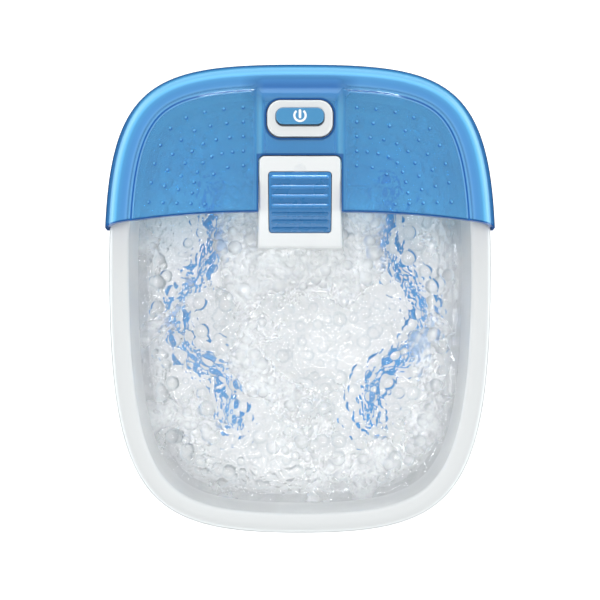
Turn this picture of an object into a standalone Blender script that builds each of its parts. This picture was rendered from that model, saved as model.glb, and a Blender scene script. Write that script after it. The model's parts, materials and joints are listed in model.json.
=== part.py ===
"""Bubble foot bath: a white tub with a raised console, a translucent blue splash guard, a
toe-touch button, a ribbed pumice holder, two bubble strips and the air blower, heater and
hoses that work under the floor. Lengths below are in millimetres; the toe end is +Y, up is +Z
and the origin is under the middle of the bath."""
import math

import bmesh
import bpy
import numpy as np
from mathutils import Matrix, Vector

MM = 0.001

# Plan outline of the rim: two cubics per side, from the front centre to the rear centre.
HALF_WIDTH = 164.0
FRONT_Y, REAR_Y, WIDEST_Y = -200.0, 197.6, 28.0
FRONT_REACH = (130.9, 201.3)      # handle lengths at the front centre and at the widest point
REAR_REACH = (156.7, 129.2)       # handle lengths at the widest point and at the rear centre
OUTLINE_POINTS = 52

RIM_Z = 150.0
FLOOR_INSET = 41.0                # where the flat floor begins, in from the rim's edge
BASE_Z, BASE_TOP = 6.0, 8.6       # the housing's bottom plate

GUARD_GAP, GUARD_WALL = 0.4, 2.2  # the guard's skirt passes outside the rim
GUARD_BOTTOM, GUARD_SHOULDER, GUARD_TOP = 136.0, 152.0, 172.0
PANEL_Z = 170.5                   # the guard's side panels
PLATEAU_Z = 176.0
PLATEAU_HALF, PLATEAU_FOOT = 31.5, 39.3
NOTCH_HALF, NOTCH_REAR = 35.0, 121.0
EDGE_Y, EDGE_BOW, EDGE_LEAN = 74.1, 0.00065, 0.10

CONSOLE_HALF, CONSOLE_Z = 31.0, 168.0
BLOCK_HALF, BLOCK_REAR = 33.6, 120.2
SIDE_DRAFT = 0.07
BLOCK_TOP = [(BLOCK_REAR, 177.7), (108.0, 175.5), (76.0, 165.3), (57.0, 148.3), (44.0, 136.2),
             (39.0, 129.0), (36.6, 119.0), (27.0, 44.6)]

HOLDER_HALF, HOLDER_REAR, HOLDER_BEND, HOLDER_FRONT = 26.2, 107.0, 76.0, 57.4
POCKET_DEPTH = 15.0
RIB_COUNT, RIB_PITCH, RIB_RADIUS = 7, 8.2, 1.5

BEZEL_Y, BUTTON_Y = 150.9, 152.7
BEZEL_HALF = (27.9, 15.7)
BEZEL_TOP = 180.5
BUTTON_HALF = (20.0, 7.2)
BUTTON_TOP = 182.0
WINDOW_HALF = (29.2, 17.0)

MOTOR_Y = 95.0
INLET = (80.0, 106.0)
STRIP_HALF, STRIP_HEIGHT = 6.5, 5.5
STRIP_PATH = [(80, 112), (80, 100), (79.5, 76), (77, 50), (89, 28), (106, 8), (113, -16),
              (109, -38), (95, -55), (73, -66), (63, -80), (62.5, -100), (64, -118)]

SCREWS = [(100, -112), (-100, -112), (112, 10), (-112, 10), (95, 145), (-95, 145)]
FEET = {"foot_front_left": (-95, -135), "foot_front_right": (95, -135),
        "foot_rear_left": (-100, 122), "foot_rear_right": (100, 122)}
GLAND_X, GLAND_Z = -60.0, 30.0

WHITE = ("white_abs", (0.86, 0.86, 0.85), 0.35)
GUARD_BLUE = ("blue_clear_plastic", (0.07, 0.31, 0.70), 0.12)
BLUE = ("blue_abs", (0.08, 0.30, 0.66), 0.35)
STRIP_BLUE = ("strip_blue", (0.03, 0.22, 0.62), 0.4)
STONE = ("pumice", (0.55, 0.53, 0.50), 0.95)
RUBBER = ("rubber", (0.04, 0.04, 0.045), 0.8)
HOSE = ("silicone_hose", (0.72, 0.73, 0.70), 0.45)
STEEL = ("steel", (0.55, 0.56, 0.58), 0.3)
COPPER = ("copper", (0.72, 0.36, 0.18), 0.35)
ALUMINIUM = ("aluminium", (0.68, 0.69, 0.71), 0.4)
BLACK = ("black_plastic", (0.05, 0.05, 0.055), 0.5)
GREY = ("grey_plastic", (0.35, 0.36, 0.38), 0.5)
WIRE = ("wire_insulation", (0.45, 0.05, 0.04), 0.45)
METALS = {"steel", "copper", "aluminium"}


# ---- mesh helpers -------------------------------------------------------------------------

def material(look):
    name, colour, roughness = look
    found = bpy.data.materials.get(name)
    if found:
        return found
    made = bpy.data.materials.new(name)
    made.use_nodes = True
    shader = made.node_tree.nodes["Principled BSDF"]
    shader.inputs["Base Color"].default_value = (*colour, 1.0)
    shader.inputs["Roughness"].default_value = roughness
    shader.inputs["Metallic"].default_value = 1.0 if name in METALS else 0.0
    return made


def solid(name, vertices, faces, look):
    """A closed mesh from millimetre vertices, with its normals turned outwards."""
    mesh = bpy.data.meshes.new(name)
    mesh.from_pydata([tuple(float(c) * MM for c in v) for v in vertices], [], faces)
    work = bmesh.new()
    work.from_mesh(mesh)
    bmesh.ops.remove_doubles(work, verts=work.verts, dist=1e-6)
    bmesh.ops.recalc_face_normals(work, faces=work.faces)
    work.to_mesh(mesh)
    work.free()
    made = bpy.data.objects.new(name, mesh)
    bpy.context.scene.collection.objects.link(made)
    mesh.materials.append(material(look))
    return made


def loft(name, rings, look, closed=False):
    """Skin a list of equal rings; the ends are capped unless the skin closes on itself."""
    count = len(rings[0])
    vertices = [tuple(p) for ring in rings for p in ring]
    faces = []
    spans = len(rings) if closed else len(rings) - 1
    for i in range(spans):
        a, b = i * count, ((i + 1) % len(rings)) * count
        for j in range(count):
            k = (j + 1) % count
            faces.append((a + j, a + k, b + k, b + j))
    if not closed:
        faces.append(tuple(range(count)))
        faces.append(tuple(range(len(vertices) - count, len(vertices))))
    return solid(name, vertices, faces, look)


def turned(name, profile, look, centre=(0.0, 0.0), sides=20, ring=False):
    """Turn a list of (radius, z) about the upright line at `centre`."""
    angles = [2 * math.pi * k / sides for k in range(sides)]
    rings = [[(radius * math.cos(a), radius * math.sin(a), z) for a in angles]
             for radius, z in profile]
    made = loft(name, rings, look, closed=ring)
    made.location = (centre[0] * MM, centre[1] * MM, 0.0)
    return made


def prism(name, polygon, low, high, look, along="z"):
    """Extrude a polygon between two planes; `along` is the direction of extrusion."""
    place = {"z": lambda a, b, h: (a, b, h), "y": lambda a, b, h: (a, h, b),
             "x": lambda a, b, h: (h, a, b)}[along]
    return loft(name, [[place(a, b, h) for a, b in polygon] for h in (low, high)], look)


def block(name, low, high, look):
    (x0, y0, z0), (x1, y1, z1) = low, high
    return prism(name, [(x0, y0), (x1, y0), (x1, y1), (x0, y1)], z0, z1, look)


def rounded(half, radius, centre=(0.0, 0.0), steps=5):
    """Rounded rectangle, counter-clockwise."""
    points = []
    corners = [(1, 1, 0), (-1, 1, 90), (-1, -1, 180), (1, -1, 270)]
    for sx, sy, start in corners:
        for k in range(steps + 1):
            angle = math.radians(start + 90 * k / steps)
            points.append((centre[0] + sx * (half[0] - radius) + radius * math.cos(angle),
                           centre[1] + sy * (half[1] - radius) + radius * math.sin(angle)))
    return points


def smooth(points, per_span=5):
    """Catmull-Rom curve through the points."""
    points = [np.array(p, float) for p in points]
    points = [2 * points[0] - points[1]] + points + [2 * points[-1] - points[-2]]
    line = []
    for a, b, c, d in zip(points, points[1:], points[2:], points[3:]):
        for k in range(per_span):
            t = k / per_span
            line.append(0.5 * (2 * b + (c - a) * t + (2 * a - 5 * b + 4 * c - d) * t ** 2
                               + (3 * b - a - 3 * c + d) * t ** 3))
    line.append(points[-2])
    return line


def frames(line):
    """Right and up vectors along a line, carried without twist."""
    tangents = [(line[min(i + 1, len(line) - 1)] - line[max(i - 1, 0)]) for i in range(len(line))]
    tangents = [t / np.linalg.norm(t) for t in tangents]
    helper = np.array([0.0, 0.0, 1.0]) if abs(tangents[0][2]) < 0.9 else np.array([0.0, 1.0, 0.0])
    right = np.cross(tangents[0], helper)
    result = []
    for tangent in tangents:
        right = right - tangent * right.dot(tangent)
        right = right / np.linalg.norm(right)
        result.append((right, np.cross(right, tangent)))
    return result


def tube(name, line, outer, look, inner=0.0, sides=10):
    """Sweep a round bar, or a hose if `inner` is given, along a line of points."""
    line = [np.array(p, float) for p in line]
    axes = frames(line)

    def rings(radius):
        return [[p + radius * (math.cos(2 * math.pi * k / sides) * r
                               + math.sin(2 * math.pi * k / sides) * u) for k in range(sides)]
                for p, (r, u) in zip(line, axes)]
    if inner:
        return loft(name, rings(outer) + rings(inner)[::-1], look, closed=True)
    return loft(name, rings(outer), look)


def combine(target, tool, operation):
    """Apply one exact Boolean to the target and remove the tool."""
    step = target.modifiers.new("combine", "BOOLEAN")
    step.operation, step.solver, step.object = operation, "EXACT", tool
    graph = bpy.context.evaluated_depsgraph_get()
    result = bpy.data.meshes.new_from_object(target.evaluated_get(graph))
    target.modifiers.clear()
    old = target.data
    name = old.name
    target.data = result
    bpy.data.meshes.remove(old)
    result.name = name
    bpy.data.objects.remove(tool)
    work = bmesh.new()
    work.from_mesh(result)
    bmesh.ops.remove_doubles(work, verts=work.verts, dist=2e-6)
    bmesh.ops.dissolve_degenerate(work, edges=work.edges, dist=2e-6)
    work.to_mesh(result)
    work.free()
    while len(result.materials) > 1:
        result.materials.pop()
    return target


def add(target, *tools):
    for tool in tools:
        combine(target, tool, "UNION")
    return target


def cut(target, *tools):
    for tool in tools:
        combine(target, tool, "DIFFERENCE")
    return target


def common(target, tool):
    return combine(target, tool, "INTERSECT")


# ---- the plan outline ---------------------------------------------------------------------

def cubic(a, b, c, d, t):
    a, b, c, d = (np.array(p, float) for p in (a, b, c, d))
    return (1 - t) ** 3 * a + 3 * (1 - t) ** 2 * t * b + 3 * (1 - t) * t ** 2 * c + t ** 3 * d


def half_outline():
    """Stations from the front centre to the rear centre: points and inward normals."""
    t = np.linspace(0, 1, 600)[:, None]
    front = cubic((0, FRONT_Y), (FRONT_REACH[0], FRONT_Y),
                  (HALF_WIDTH, WIDEST_Y - FRONT_REACH[1]), (HALF_WIDTH, WIDEST_Y), t)
    rear = cubic((HALF_WIDTH, WIDEST_Y), (HALF_WIDTH, WIDEST_Y + REAR_REACH[0]),
                 (REAR_REACH[1], REAR_Y), (0, REAR_Y), t)
    line = np.vstack([front, rear[1:]])
    tangent = np.gradient(line, axis=0)
    tangent /= np.linalg.norm(tangent, axis=1)[:, None]
    normal = np.stack([-tangent[:, 1], tangent[:, 0]], axis=1)
    step = np.linalg.norm(np.diff(line, axis=0), axis=1)
    turn = np.arccos(np.clip((tangent[1:] * tangent[:-1]).sum(1), -1, 1))
    weight = np.concatenate([[0], np.cumsum(step / step.sum() + turn / turn.sum())]) / 2
    stations = np.linspace(0, 1, OUTLINE_POINTS // 2 + 1)
    points = np.stack([np.interp(stations, weight, line[:, i]) for i in (0, 1)], axis=1)
    normals = np.stack([np.interp(stations, weight, normal[:, i]) for i in (0, 1)], axis=1)
    normals[0], normals[-1] = (0, 1), (0, -1)
    return points, normals


def ring_at(inset, z):
    """The outline moved inwards by `inset` and set at height z."""
    points, normals = half_outline()
    right = points + normals * inset
    left = right[-2:0:-1] * (-1, 1)
    return [(x, y, z) for x, y in np.vstack([right, left])]


def dish(name, section, look):
    """Loft the outline through (inset, z) pairs from one cap to the other."""
    return loft(name, [ring_at(inset, z) for inset, z in section], look)


def arc(centre, radius, start, end, steps):
    """Points of an arc in the (inset, z) plane; angle 0 faces outwards, 90 up."""
    return [(centre[0] - radius[0] * math.cos(math.radians(a)),
             centre[1] + radius[1] * math.sin(math.radians(a)))
            for a in np.linspace(start, end, steps)]


# ---- tub, housing and guard ---------------------------------------------------------------

def tub_shell():
    floor = arc((FLOOR_INSET, 61.0), (15.0, 15.0), -90, -6, 5)
    rim = [(18.0, 145.5), (17.2, 148.4), (14.6, 149.8), (10.0, RIM_Z), (5.4, 149.0),
           (2.2, 146.6), (0.5, 143.2), (0.0, 139.0), (0.0, 136.0)]
    under_rim = [(2.6, 136.0), (2.6, 141.0), (4.8, 145.0), (9.0, 147.2), (13.6, 147.2),
                 (15.3, 144.6)]
    under_floor = arc((FLOOR_INSET, 61.0), (17.8, 17.8), -6, -90, 5)
    return dish("tub", floor + rim + under_rim + under_floor, WHITE)


def wedge(half, top_z, wall, low, y0, y1):
    """Drafted bar along Y: `half` wide at top_z and wider below."""
    top, bottom = half - wall, half - wall + SIDE_DRAFT * (top_z - low)
    return prism("wedge", [(-bottom, low), (bottom, low), (top, top_z), (-top, top_z)],
                 y0, y1, WHITE, along="y")


def console_solid():
    back = [(41.3, 44.6), (29.4, 49.4), (24.7, 60.0), (16.9, 146.0), (13.3, 148.6),
            (15.1, 152.0), (22.8, CONSOLE_Z)]
    rear = [(110.0, 44.6)] + [(REAR_Y - d, z) for d, z in back] + [(110.0, CONSOLE_Z)]
    solid_rear = common(prism("console", rear, -60, 60, WHITE, along="x"),
                        wedge(CONSOLE_HALF, CONSOLE_Z + 3, 0.0, 40.0, 100, 195))
    front = BLOCK_TOP + [(BLOCK_REAR, 44.6)]
    solid_front = common(prism("front", front, -60, 60, WHITE, along="x"),
                         wedge(BLOCK_HALF, 180.0, 0.0, 40.0, 10, 130))
    return solid_rear, solid_front


def console_hollow():
    """Space inside the console, open below, less the walls of the pumice pocket."""
    back = [(45.3, 40.0), (45.3, 50.0), (33.8, 54.0), (28.7, 63.0), (21.1, 140.0),
            (20.1, 150.0), (25.3, CONSOLE_Z - 2.6)]
    rear = [(100.0, 40.0)] + [(REAR_Y - d, z) for d, z in back] + [(100.0, CONSOLE_Z - 2.6)]
    hollow = common(prism("hollow", rear, -60, 60, WHITE, along="x"),
                    wedge(CONSOLE_HALF, CONSOLE_Z + 3, 2.6, 38.0, 90, 195))
    front = [(117.6, 175.0), (108.5, 172.8), (77.0, 162.8), (58.4, 146.0), (46.4, 134.8),
             (41.6, 128.0), (39.2, 118.4), (29.2, 40.0), (117.6, 40.0)]
    nose = common(prism("nose", front, -60, 60, WHITE, along="x"),
                  wedge(BLOCK_HALF, 180.0, 2.6, 38.0, 10, 130))
    add(hollow, nose)
    return cut(hollow, pocket(2.4))


def pocket(wall):
    """The recess that takes the pumice holder, grown by `wall`."""
    rear, front = HOLDER_REAR + 0.5 + wall, HOLDER_FRONT - 0.5 - wall
    bottom = [(rear, 175.2 - POCKET_DEPTH - wall), (HOLDER_BEND, 165.3 - POCKET_DEPTH - wall),
              (front, 148.6 - POCKET_DEPTH - wall)]
    half = HOLDER_HALF + 0.6 + wall
    return prism("pocket", bottom + [(front, 190.0), (rear, 190.0)], -half, half, WHITE,
                 along="x")


def block_corner(side, radius=4.5):
    """What is left over outside a rounded rear corner of the block, above the console top."""
    x, y = BLOCK_HALF + 0.4 - radius, BLOCK_REAR - radius
    curve = [(side * (x + radius * math.cos(a)), y + radius * math.sin(a))
             for a in np.radians(np.linspace(0, 90, 5))]
    outer = [(side * x, BLOCK_REAR + 2), (side * (BLOCK_HALF + 3), BLOCK_REAR + 2),
             (side * (BLOCK_HALF + 3), y)]
    return prism("corner", curve + outer, CONSOLE_Z, 190.0, WHITE)


def make_tub():
    tub = tub_shell()
    rear, front = console_solid()
    add(tub, rear, front)
    cut(tub, block_corner(-1), block_corner(1))
    cut(tub, console_hollow(), pocket(0.0))
    for x, y in SCREWS:
        add(tub, turned("boss", [(4.6, 12.3), (4.6, 44.6)], WHITE, (x, y), 12))
        cut(tub, turned("pilot", [(1.9, 10.0), (1.9, 30.0)], WHITE, (x, y), 10))
    for side in (-1, 1):
        cut(tub, turned("inlet_hole", [(5.0, 40.0), (5.0, 50.0)], WHITE,
                        (side * INLET[0], INLET[1]), 16))
    cut(tub, turned("stem_hole", [(4.0, 160.0), (4.0, 172.0)], WHITE, (0, BUTTON_Y), 16))
    return tub


def gland_frame():
    """Seat of the cord gland on the rear wall: a point and the outward direction in plan."""
    points, normals = half_outline()
    inset = 18.0 - (GLAND_Z - 14.0) * 13.8 / 122.5
    rear = points[:, 1] > WIDEST_Y
    xs = (points + normals * inset)[rear]
    order = np.argsort(xs[:, 0])
    y = float(np.interp(-GLAND_X, xs[order, 0], xs[order, 1]))
    nx = float(np.interp(-GLAND_X, xs[order, 0], normals[rear][order, 0]))
    ny = float(np.interp(-GLAND_X, xs[order, 0], normals[rear][order, 1]))
    return Vector((GLAND_X, y, GLAND_Z)), Vector((nx, -ny, 0.0)).normalized()


def on_gland(made):
    """Turn a piece built round +Z at the origin onto the gland's axis."""
    point, outward = gland_frame()
    made.location = point * MM
    made.rotation_mode = "QUATERNION"
    made.rotation_quaternion = outward.to_track_quat("Z", "Y")
    return made


def make_base():
    outer = [(38.0, BASE_Z), (27.0, BASE_Z), (20.5, 8.5), (18.0, 14.0), (4.2, 136.5),
             (4.2, 142.5)]
    inner = [(6.8, 142.5), (6.8, 136.5), (20.6, 14.5), (22.6, 10.4), (27.6, BASE_TOP),
             (38.0, BASE_TOP)]
    base = dish("base_housing", outer + inner, WHITE)
    for x, y in SCREWS:
        add(base, turned("pad", [(6.6, 7.5), (6.6, 12.0)], WHITE, (x, y), 16))
        cut(base, turned("recess", [(4.3, 4.0), (4.3, 9.2)], WHITE, (x, y), 16),
            turned("hole", [(2.1, 4.0), (2.1, 14.0)], WHITE, (x, y), 12))
    for x, y in FEET.values():
        cut(base, turned("socket", [(4.4, 4.0), (4.4, 11.0)], WHITE, (x, y), 16))
    for k in range(5):
        x = 9.0 * (k - 2)
        cut(base, block("slot", (x - 1.5, MOTOR_Y - 14, 4.0), (x + 1.5, MOTOR_Y + 14, 11.0),
                        WHITE))
    add(base, on_gland(turned("seat", [(10.0, -4.4), (10.0, 2.0)], WHITE, sides=20)))
    cut(base, on_gland(turned("hole", [(5.6, -9.0), (5.6, 6.0)], WHITE, sides=20)))
    return base


def guard_body(skirt, low, shoulder, top, panel, plateau, plateau_half, plateau_foot, rear_y):
    """Dome and central plateau of the guard, used once for the outside and once inside."""
    reach = 17.6 - skirt
    section = [(skirt, low)] + arc((17.6, shoulder), (reach, top - shoulder), 0, 90, 7)
    section += [(20.4, top), (22.4, panel)]
    body = dish("splash_guard", section, GUARD_BLUE)
    ridge = prism("ridge", [(-plateau_foot, panel - 3), (-plateau_foot, panel),
                            (-plateau_half, plateau), (plateau_half, plateau),
                            (plateau_foot, panel), (plateau_foot, panel - 3)],
                  40.0, 195.0, GUARD_BLUE, along="y")
    side = [(40.0, panel - 3.5), (rear_y + 12, panel - 3.5), (rear_y + 12, panel - 0.6),
            (rear_y, plateau + 0.01), (40.0, plateau + 0.01)]
    return add(body, common(ridge, prism("side", side, -60, 60, GUARD_BLUE, along="x")))


def guard_edge_cutter():
    """Everything in front of the bowed, slightly leaning front edge of the guard."""
    xs = np.linspace(-185, 185, 31)
    rings = []
    for z in (125.0, 190.0):
        edge = [(x, EDGE_Y - EDGE_BOW * max(abs(x) - 36, 0) ** 2
                 - EDGE_LEAN * (GUARD_TOP - z), z) for x in xs]
        rings.append([(-185, -215, z)] + [(185, -215, z)] + edge[::-1])
    return loft("edge", rings, GUARD_BLUE)


def make_guard():
    guard = guard_body(-(GUARD_GAP + GUARD_WALL), GUARD_BOTTOM, GUARD_SHOULDER, GUARD_TOP,
                       PANEL_Z, PLATEAU_Z, PLATEAU_HALF, PLATEAU_FOOT, REAR_Y - 28.3)
    inside = guard_body(-GUARD_GAP, 130.0, GUARD_SHOULDER, GUARD_TOP - 2.2, PANEL_Z - 2.2,
                        PLATEAU_Z - 2.2, PLATEAU_HALF - 1.6, PLATEAU_FOOT - 1.9,
                        REAR_Y - 30.1)
    cut(guard, inside, guard_edge_cutter())
    notch = rounded((NOTCH_HALF, 40.0), 4.5, (0.0, NOTCH_REAR - 40.0), 4)
    window = rounded(WINDOW_HALF, 12.0, (0.0, BEZEL_Y), 5)
    cut(guard, prism("notch", notch, 150, 190, GUARD_BLUE),
        prism("window", window, 150, 190, GUARD_BLUE))
    for x, y in ((70, 195), (-70, 195), (160, 105), (-160, 105)):
        add(guard, guard_rib(x, y))
    return guard


def guard_rib(x, y):
    """One inner rib of the guard, standing on the rim at the outline point nearest (x, y)."""
    profile = [(4.0, RIM_Z + 0.3), (12.0, RIM_Z + 0.3), (12.0, 169.9), (4.0, 164.9)]
    points, normals = half_outline()
    nearest = np.argmin(np.linalg.norm(points - (abs(x), y), axis=1))
    mirror = (math.copysign(1.0, x), 1.0)
    origin, inward = points[nearest] * mirror, normals[nearest] * mirror
    across = np.array([-inward[1], inward[0]])
    return loft("rib", [[(*(origin + inward * d + across * side), z) for d, z in profile]
                        for side in (-1.0, 1.0)], GUARD_BLUE)


# ---- button, holder and strips ------------------------------------------------------------

def make_button_group():
    centre = (0.0, BUTTON_Y)
    ring = [(0.0, 168.3), (0.0, BEZEL_TOP - 1.6), (0.5, BEZEL_TOP - 0.5), (1.7, BEZEL_TOP)]
    bezel = loft("control_bezel",
                 [[(x, y, z) for x, y in rounded((BEZEL_HALF[0] - d, BEZEL_HALF[1] - d),
                                                 11.5 - d, (0.0, BEZEL_Y), 6)] for d, z in ring],
                 WHITE)
    cut(bezel, prism("opening", rounded((BUTTON_HALF[0] + 0.5, BUTTON_HALF[1] + 0.5), 6.5,
                                        centre, 5), 160, 190, WHITE))
    ring = [(0.0, 174.5), (0.0, BUTTON_TOP - 0.8), (0.3, BUTTON_TOP - 0.2), (1.0, BUTTON_TOP)]
    button = loft("power_button",
                  [[(x, y, z) for x, y in rounded((BUTTON_HALF[0] - d, BUTTON_HALF[1] - d),
                                                  6.0 - d, centre, 5)] for d, z in ring], BLUE)
    cut(button, turned("recess", [(6.4, 170.0), (6.4, 180.0)], BLUE, centre, 20))
    turned("button_stem", [(1.5, 151.0), (1.5, 158.5), (2.5, 158.5), (2.5, 179.8)], STEEL,
           centre, 14)
    turned("stem_seal", [(7.0, 163.4), (7.0, 165.2), (3.7, 165.2), (3.7, 168.1), (2.8, 168.1),
                         (2.8, 163.4)], RUBBER, centre, 16, ring=True)
    turns, points = 3.5, 34
    helix = [(5.4 * math.cos(2 * math.pi * turns * k / points),
              BUTTON_Y + 5.4 * math.sin(2 * math.pi * turns * k / points),
              168.8 + 10.6 * k / points) for k in range(points + 1)]
    tube("button_return_spring", helix, 0.45, STEEL, sides=5)
    switch = block("power_switch", (-10, BUTTON_Y - 6.5, 138.0), (10, BUTTON_Y + 6.5, 156.0),
                   BLACK)
    cut(switch, turned("bore", [(2.1, 146.0), (2.1, 160.0)], BLACK, centre, 12))
    bracket = [(-14.0, 135.8), (14.0, 135.8), (14.0, 165.1), (12.4, 165.1), (12.4, 137.6),
               (-12.4, 137.6), (-12.4, 165.1), (-14.0, 165.1)]
    prism("switch_bracket", bracket, BUTTON_Y - 6, BUTTON_Y + 6, STEEL, along="y")


def holder_line(drop):
    """Top line of the holder in the (y, z) plane, lowered by `drop`."""
    return [(HOLDER_REAR, 175.3 - drop), (HOLDER_BEND, 165.3 - drop),
            (HOLDER_FRONT, 148.7 - drop)]


def make_holder():
    top, under = holder_line(0.2), holder_line(3.4)
    holder = prism("pumice_holder", top + under[::-1], -HOLDER_HALF, HOLDER_HALF, BLUE,
                   along="x")
    lips = holder_line(11.0)
    for side in (-1, 1):
        low, high = sorted((side * (HOLDER_HALF - 2.4), side * HOLDER_HALF))
        add(holder, prism("lip", holder_line(2.0) + lips[::-1], low, high, BLUE, along="x"))
    path = [np.array(p) for p in holder_line(0.2)]
    upper = np.linalg.norm(path[1] - path[0])
    for k in range(RIB_COUNT):
        along = 4.6 + RIB_PITCH * k
        a, b, rest = ((path[0], path[1], along) if along < upper
                      else (path[1], path[2], along - upper))
        way = (b - a) / np.linalg.norm(b - a)
        up = np.array([way[1], -way[0]]) * (1 if way[1] * 0 - way[0] > 0 else -1)
        middle = a + way * rest
        section = [middle + RIB_RADIUS * (1.15 * math.cos(t) * way + math.sin(t) * up)
                   for t in np.radians([-20, 20, 60, 90, 120, 160, 200])]
        half = HOLDER_HALF - 1.8
        add(holder, prism("rib", [tuple(p) for p in section], -half, half, BLUE, along="x"))
    stone_top = [(HOLDER_REAR - 3, 174.0), (HOLDER_BEND, 165.3), (HOLDER_FRONT + 3, 151.2)]
    stone = [(y, z - 3.9) for y, z in stone_top] + [(y, z - 12.0) for y, z in stone_top[::-1]]
    prism("pumice_stone", stone, -HOLDER_HALF + 2.8, HOLDER_HALF - 2.8, STONE, along="x")


def make_strips():
    half, high, wall = STRIP_HALF, STRIP_HEIGHT, 1.8
    section = [(-half, 0), (-half, high - 1.6), (-half + 1.6, high), (half - 1.6, high),
               (half, high - 1.6), (half, 0), (half - wall, 0), (half - wall, high - wall),
               (-half + wall, high - wall), (-half + wall, 0)]
    for side, name in ((-1, "bubble_strip_left"), (1, "bubble_strip_right")):
        line = smooth([(side * x, y, 46.3) for x, y in STRIP_PATH], 2)
        rings = []
        for i, point in enumerate(line):
            way = line[min(i + 1, len(line) - 1)] - line[max(i - 1, 0)]
            across = np.array([way[1], -way[0], 0.0]) / np.linalg.norm(way)
            rings.append([point + across * a + np.array([0, 0, b]) for a, b in section])
        strip = loft(name, rings, STRIP_BLUE)
        for point in line[3:-1:3]:
            cut(strip, turned("air_hole", [(1.0, 48.8), (1.0, 54.0)], STRIP_BLUE,
                              (point[0], point[1]), 6))


# ---- air supply ---------------------------------------------------------------------------

def volute(shrink):
    """Plan of the blower: a round body with a straight outlet chamber towards the rear."""
    radius = 46.0 - shrink
    left, right, rear = 13.0 + shrink, 46.0 - shrink, 156.0 - shrink
    start = math.acos(left / radius)
    angles = np.linspace(start, 2 * math.pi, 30)
    return ([(radius * math.cos(a), MOTOR_Y + radius * math.sin(a)) for a in angles]
            + [(right, rear), (left, rear)])


def make_blower():
    housing = prism("blower_housing", volute(0.0), 12.0, 32.0, GREY)
    cut(housing, prism("inside", volute(2.4), 14.2, 40.0, GREY),
        turned("eye", [(15.0, 8.0), (15.0, 20.0)], GREY, (0, MOTOR_Y), 24))
    cover = prism("blower_cover", volute(0.0), 32.3, 34.3, GREY)
    cut(cover, turned("eye", [(4.2, 30.0), (4.2, 36.0)], GREY, (0, MOTOR_Y), 16))
    add(cover, turned("spigot", [(4.5, 33.0), (4.5, 48.0)], GREY, (24, 146), 14))
    cut(cover, turned("way", [(3.0, 30.0), (3.0, 50.0)], GREY, (24, 146), 14))
    for k, angle in enumerate((100, 220, 340), start=1):
        spot = (36 * math.cos(math.radians(angle)), MOTOR_Y + 36 * math.sin(math.radians(angle)))
        turned(f"blower_mount_{k}", [(6.0, 8.9), (6.0, 11.7), (2.6, 11.7), (2.6, 8.9)], RUBBER,
               spot, 14, ring=True)
    impeller = turned("blower_impeller", [(33.0, 17.0), (33.0, 18.6)], BLACK, (0, MOTOR_Y), 28)
    add(impeller, turned("hub", [(7.0, 18.0), (6.0, 29.0)], BLACK, (0, MOTOR_Y), 14))
    for k in range(9):
        blade = block("blade", (12.0, -0.8, 18.2), (31.5, 0.8, 28.6), BLACK)
        blade.data.transform(Matrix.Translation((0, MOTOR_Y * MM, 0))
                             @ Matrix.Rotation(2 * math.pi * k / 9, 4, "Z")
                             @ Matrix.Translation((12 * MM, 0, 0))
                             @ Matrix.Rotation(math.radians(28), 4, "Z")
                             @ Matrix.Translation((-12 * MM, 0, 0)))
        add(impeller, blade)
    cut(impeller, turned("bore", [(2.62, 10.0), (2.62, 34.0)], BLACK, (0, MOTOR_Y), 14))


def make_motor():
    centre = (0.0, MOTOR_Y)
    turned("motor_shaft", [(2.5, 15.5), (2.5, 81.0)], STEEL, centre, 14)
    turned("motor_rotor", [(12.6, 47.0), (12.6, 63.0), (2.62, 63.0), (2.62, 47.0)], STEEL,
           centre, 14, ring=True)
    stator = turned("motor_stator", [(24.0, 48.0), (24.0, 62.0)], STEEL, centre, 28)
    add(stator, block("ears", (-5, MOTOR_Y - 31, 48.6), (5, MOTOR_Y + 31, 61.4), STEEL))
    cut(stator, turned("bore", [(13.8, 40.0), (13.8, 70.0)], STEEL, centre, 28))
    for name, low, high in (("motor_coil_lower", 43.6, 47.7), ("motor_coil_upper", 62.3, 67.8)):
        turned(name, [(15.0, low), (22.0, low), (22.0, high), (15.0, high)], COPPER, centre, 20,
               ring=True)
    lower = turned("motor_bracket_lower", [(22.0, 35.0), (22.0, 37.2)], ALUMINIUM, centre, 24)
    add(lower, block("arm", (-5, MOTOR_Y - 31, 35.1), (5, MOTOR_Y + 31, 37.1), ALUMINIUM),
        turned("seat", [(10.4, 36.0), (10.4, 42.6)], ALUMINIUM, centre, 20))
    upper = block("motor_bracket_upper", (-6, MOTOR_Y - 31, 72.0), (6, MOTOR_Y + 31, 74.2),
                  ALUMINIUM)
    add(upper, turned("seat", [(10.4, 71.9), (10.4, 79.2)], ALUMINIUM, centre, 20))
    for side in (-27.5, 27.5):
        post = (0.0, MOTOR_Y + side)
        cut(stator, turned("hole", [(2.8, 40.0), (2.8, 70.0)], STEEL, post, 12))
        add(lower, turned("post", [(2.3, 36.0), (2.3, 71.7)], ALUMINIUM, post, 12))
    for name, carrier, low in (("bearing_lower", lower, 37.5), ("bearing_upper", upper, 74.5)):
        cut(carrier, turned("seat", [(8.2, low - 0.3), (8.2, low + 12)], ALUMINIUM, centre, 20),
            turned("eye", [(4.0, low - 6), (4.0, low + 2)], ALUMINIUM, centre, 16))
        turned(name, [(2.8, low), (8.0, low), (8.0, low + 4.5), (2.8, low + 4.5)], STEEL,
               centre, 20, ring=True)


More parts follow.
